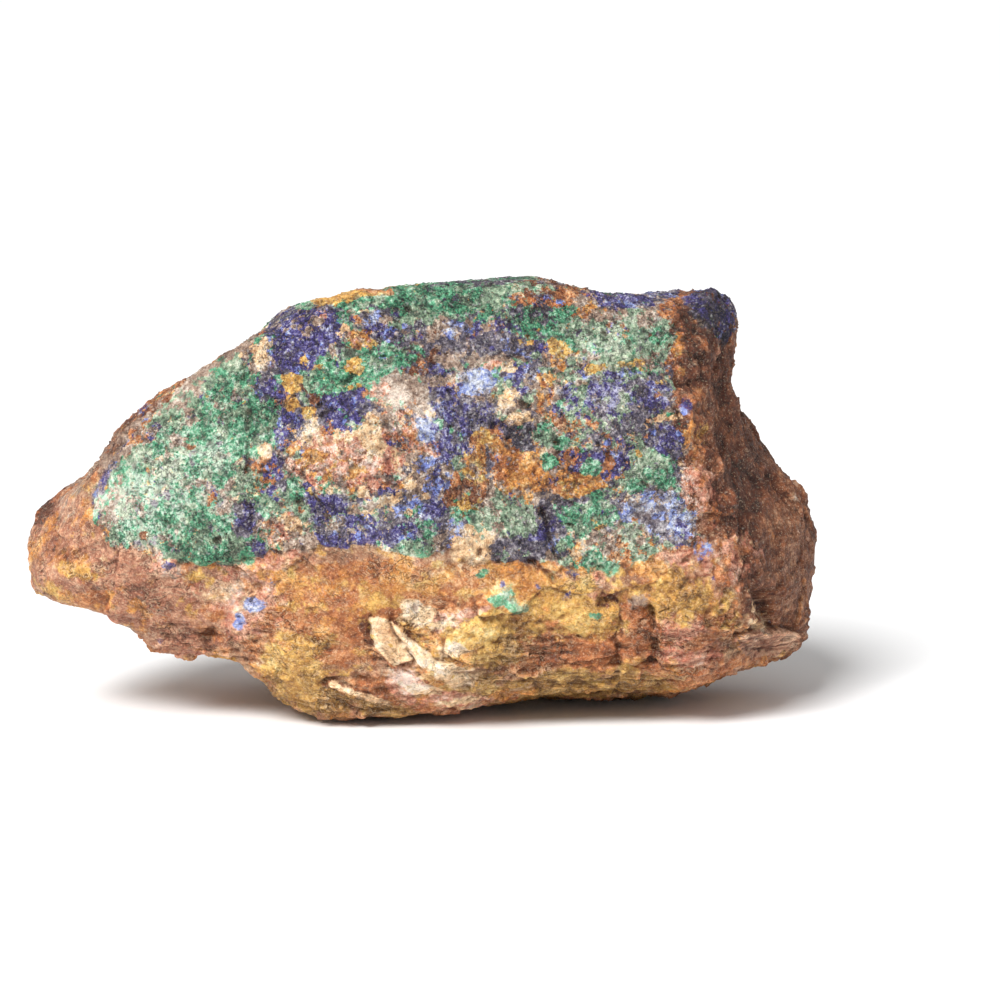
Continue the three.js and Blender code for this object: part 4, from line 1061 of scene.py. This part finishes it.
    # thin beds, dark in the gaps
    beds = g.node("ShaderNodeAttribute", attribute_name="beds").outputs["Fac"]
    sheets = g.noise(g.vmath("MULTIPLY", upright, (0.13, 0.13, 1.0)), 1150.0, 4.0, 0.62)
    gaps = g.math("MULTIPLY", g.math("MULTIPLY_ADD", sheets, -9.0, 4.5, clamp=True), beds)
    tops = g.math("MULTIPLY", g.math("MULTIPLY_ADD", sheets, 9.0, -4.9, clamp=True), beds)
    colour = g.blend(g.math("MULTIPLY", gaps, 0.75), colour, linear((92, 50, 30)), "MULTIPLY")
    colour = g.blend(g.math("MULTIPLY", tops, 0.35), colour, linear((240, 206, 168)))
    g.wire(colour, g.shader.inputs["Base Color"])
    rough = g.math("SUBTRACT", 0.70, g.math("MULTIPLY", glint, g.math("MULTIPLY_ADD", crust, 0.34, 0.12)))
    g.wire(rough, g.shader.inputs["Roughness"])
    g.shader.inputs["Specular IOR Level"].default_value = 0.45
    height = g.math("ADD", g.math("MULTIPLY", fine.outputs["Distance"], g.math("MULTIPLY_ADD", crust, -0.40, -0.08)),
                    g.math("MULTIPLY", grain, g.math("MULTIPLY_ADD", crust, 0.9, 1.3)))
    height = g.math("SUBTRACT", height, g.math("MULTIPLY", thread, 0.35))
    height = g.math("SUBTRACT", height, g.math("MULTIPLY", net, 0.6))
    height = g.math("SUBTRACT", height, g.math("MULTIPLY", crack, 0.7))
    height = g.math("SUBTRACT", height, g.math("MULTIPLY", gaps, 1.1))
    bump = g.node("ShaderNodeBump")
    g.wire(height, bump.inputs["Height"])
    bump.inputs["Distance"].default_value = 0.00034
    bump.inputs["Strength"].default_value = 0.9
    g.wire(bump.outputs[0], g.shader.inputs["Normal"])
    return g.material


STONE = stone_material()
for o in (rock, front_skin):
    o.data.materials.clear()
    o.data.materials.append(STONE)
    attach(o, "root")
    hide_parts(ROCK)


# --------------------------------------------------------------------- crystals
def grow(name, ground, chosen, count, size, seed, sink=0.25, flat=(0.75, 1.25), spread=0.20):
    """Small crystals, each closed, sown over the rock and of the mineral they stand on."""
    rng = np.random.default_rng(seed)
    tri = ground.tri
    a, b, c = (ground.co[tri[:, k]] for k in range(3))
    area = np.linalg.norm(np.cross(b - a, c - a), axis=1) / 2
    weight = area * np.clip(chosen[tri].mean(1), 0, None)
    share = np.cumsum(weight) / weight.sum()
    f = np.searchsorted(share, rng.random(count))
    r1, r2 = np.sqrt(rng.random(count)), rng.random(count)
    w = np.stack([1 - r1, r1 * (1 - r2), r1 * r2], 1)[:, :, None]
    at = (np.stack([a[f], b[f], c[f]], 1) * w).sum(1)
    up = (ground.no[tri[f]] * w).sum(1)
    up /= np.linalg.norm(up, axis=1)[:, None]
    table = (ground.table[tri[f]] * w).sum(1)
    dips = (ground.dips[tri[f]] * w).sum(1)
    beds = (ground.beds[tri[f]] * w[:, :, 0]).sum(1)
    radius = size[0] * (size[1] / size[0]) ** (rng.random(count) ** 1.8)
    at = at - up * (radius * sink)[:, None]
    # an irregular octahedron, turned at random
    frame3 = np.linalg.qr(rng.normal(size=(count, 3, 3)))[0]
    dirs = np.array([(1, 0, 0), (-1, 0, 0), (0, 1, 0), (0, -1, 0), (0, 0, 1), (0, 0, -1)], float)
    arm = radius[:, None] * rng.uniform(flat[0], flat[1], (count, 6)) * np.repeat(rng.uniform(0.65, 1.35, (count, 3)), 2, 1)
    points = at[:, None, :] + np.einsum("vk,nkj->nvj", dirs, frame3) * arm[:, :, None]
    room = 0.00003
    inner = np.all((points > np.array(cad_low) + room) & (points < np.array(cad_high) - room), axis=(1, 2))
    inner &= points[:, :, 2].min(1) > 0.0006
    points, kept = points[inner], int(inner.sum())
    turned = np.linalg.det(frame3[inner]) < 0
    faces = np.array([(0, 2, 4), (2, 1, 4), (1, 3, 4), (3, 0, 4), (2, 0, 5), (1, 2, 5), (3, 1, 5), (0, 3, 5)])
    every = faces[None] + 6 * np.arange(kept)[:, None, None]
    every = np.where(turned[:, None, None], every[:, :, ::-1], every).reshape(-1, 3)
    new = bpy.data.meshes.new(name)
    new.vertices.add(kept * 6)
    new.vertices.foreach_set("co", points.astype(np.float32).ravel())
    new.loops.add(len(every) * 3)
    new.loops.foreach_set("vertex_index", every.astype(np.int32).ravel())
    new.polygons.add(len(every))
    new.polygons.foreach_set("loop_start", np.arange(0, len(every) * 3, 3, dtype=np.int32))
    new.update(calc_edges=True)
    new.validate()
    # on the crystals the painted crevice shade of the fine hollows is left out, and the painted pit shade is cut to 0.3
    dips[:, 0] = np.minimum(dips[:, 0], 0.42)
    dips[:, 3] *= 0.3
    own = rng.normal(0, spread, len(at))
    six = lambda rows: np.repeat(rows[inner], 6, 0)
    store(new, six(table), six(dips), six(beds), six(own))
    new.materials.append(STONE)
    o = link(name, new)
    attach(o, "root")
    say("%s: %d crystals, %d triangles" % (name, kept, len(new.polygons)))
    return o


g = near_side
lively = g.crust * (0.30 + 0.70 * g.front) * (1 - 0.80 * g.pit) * smooth(0.40, 0.60, g.look)
for k in range(3):
    grow("crust_crystals_%d" % (k + 1), g, lively, 19000, (0.00012, 0.00034), 11 + k)
grow("matrix_grains", g, (1 - g.crust) * smooth(0.40, 0.60, g.look), 4500, (0.00010, 0.00024), 15)
g = whole
grow("crust_crystals_4", g, (0.03 + g.crust) * (1 - 0.80 * g.pit) * smooth(0.45, 0.25, g.look), 6500, (0.00016, 0.00040), 16)


# ------------------------------------------------------- floor, light and camera
def material(name):
    m = bpy.data.materials.new(name)
    m.use_nodes = True
    return m, m.node_tree, m.node_tree.nodes["Principled BSDF"]


floor_mesh = bpy.data.meshes.new("floor")
floor_mesh.from_pydata([(-30, -30, 0), (30, -30, 0), (30, 30, 0), (-30, 30, 0)], [], [(0, 1, 2, 3)])
floor = link("floor", floor_mesh)
pale, _, shader = material("pale_floor")
shader.inputs["Base Color"].default_value = (0.92, 0.92, 0.92, 1)
shader.inputs["Roughness"].default_value = 0.9
shader.inputs["Specular IOR Level"].default_value = 0.0
floor_mesh.materials.append(pale)
floor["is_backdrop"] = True


def lamp(name, place, aim, size, power, colour=(1, 1, 1)):
    data = bpy.data.lights.new(name, "AREA")
    data.shape = "RECTANGLE"
    data.size, data.size_y = size
    data.energy = power
    data.color = colour
    o = bpy.data.objects.new(name, data)
    bpy.context.scene.collection.objects.link(o)
    o.location = place
    o.rotation_euler = (Vector(aim) - Vector(place)).to_track_quat("-Z", "Y").to_euler()
    o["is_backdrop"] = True
    return o


middle = (0, 0, 0.045)
lamp("key", (-0.40, -0.55, 0.62), middle, (0.16, 0.16), 1.5)
sky_sun = bpy.data.lights.new("wide_soft_light", "SUN")
sky_sun.energy = 3.4
sky_sun.angle = math.radians(28)
sun = bpy.data.objects.new("wide_soft_light", sky_sun)
bpy.context.scene.collection.objects.link(sun)
sun.rotation_euler = Vector((-0.5, -0.7, 0.9)).to_track_quat("Z", "Y").to_euler()
sun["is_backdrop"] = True

world = bpy.data.worlds.new("studio")
world.use_nodes = True
ground = world.node_tree.nodes["Background"]
ground.inputs[0].default_value = (1, 1, 1, 1)
rays = world.node_tree.nodes.new("ShaderNodeLightPath")
level = world.node_tree.nodes.new("ShaderNodeMath")
level.operation = "MULTIPLY_ADD"
world.node_tree.links.new(rays.outputs["Is Camera Ray"], level.inputs[0])
level.inputs[1].default_value = 0.56
level.inputs[2].default_value = 0.46
world.node_tree.links.new(level.outputs[0], ground.inputs[1])
bpy.context.scene.world = world
bpy.context.scene.view_settings.view_transform = "Standard"

lens = bpy.data.cameras.new("camera")
lens.lens = 100
lens.sensor_width = 36
lens.shift_x = 0.07
lens.clip_start = 0.01
camera = bpy.data.objects.new("camera", lens)
bpy.context.scene.collection.objects.link(camera)
camera.location = Vector(EYE)
camera.rotation_euler = Vector(-BACK).to_track_quat("-Z", "Y").to_euler()
bpy.context.scene.camera = camera

low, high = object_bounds()
say("bounds %s %s" % ([round(v * 1000, 2) for v in low], [round(v * 1000, 2) for v in high]))
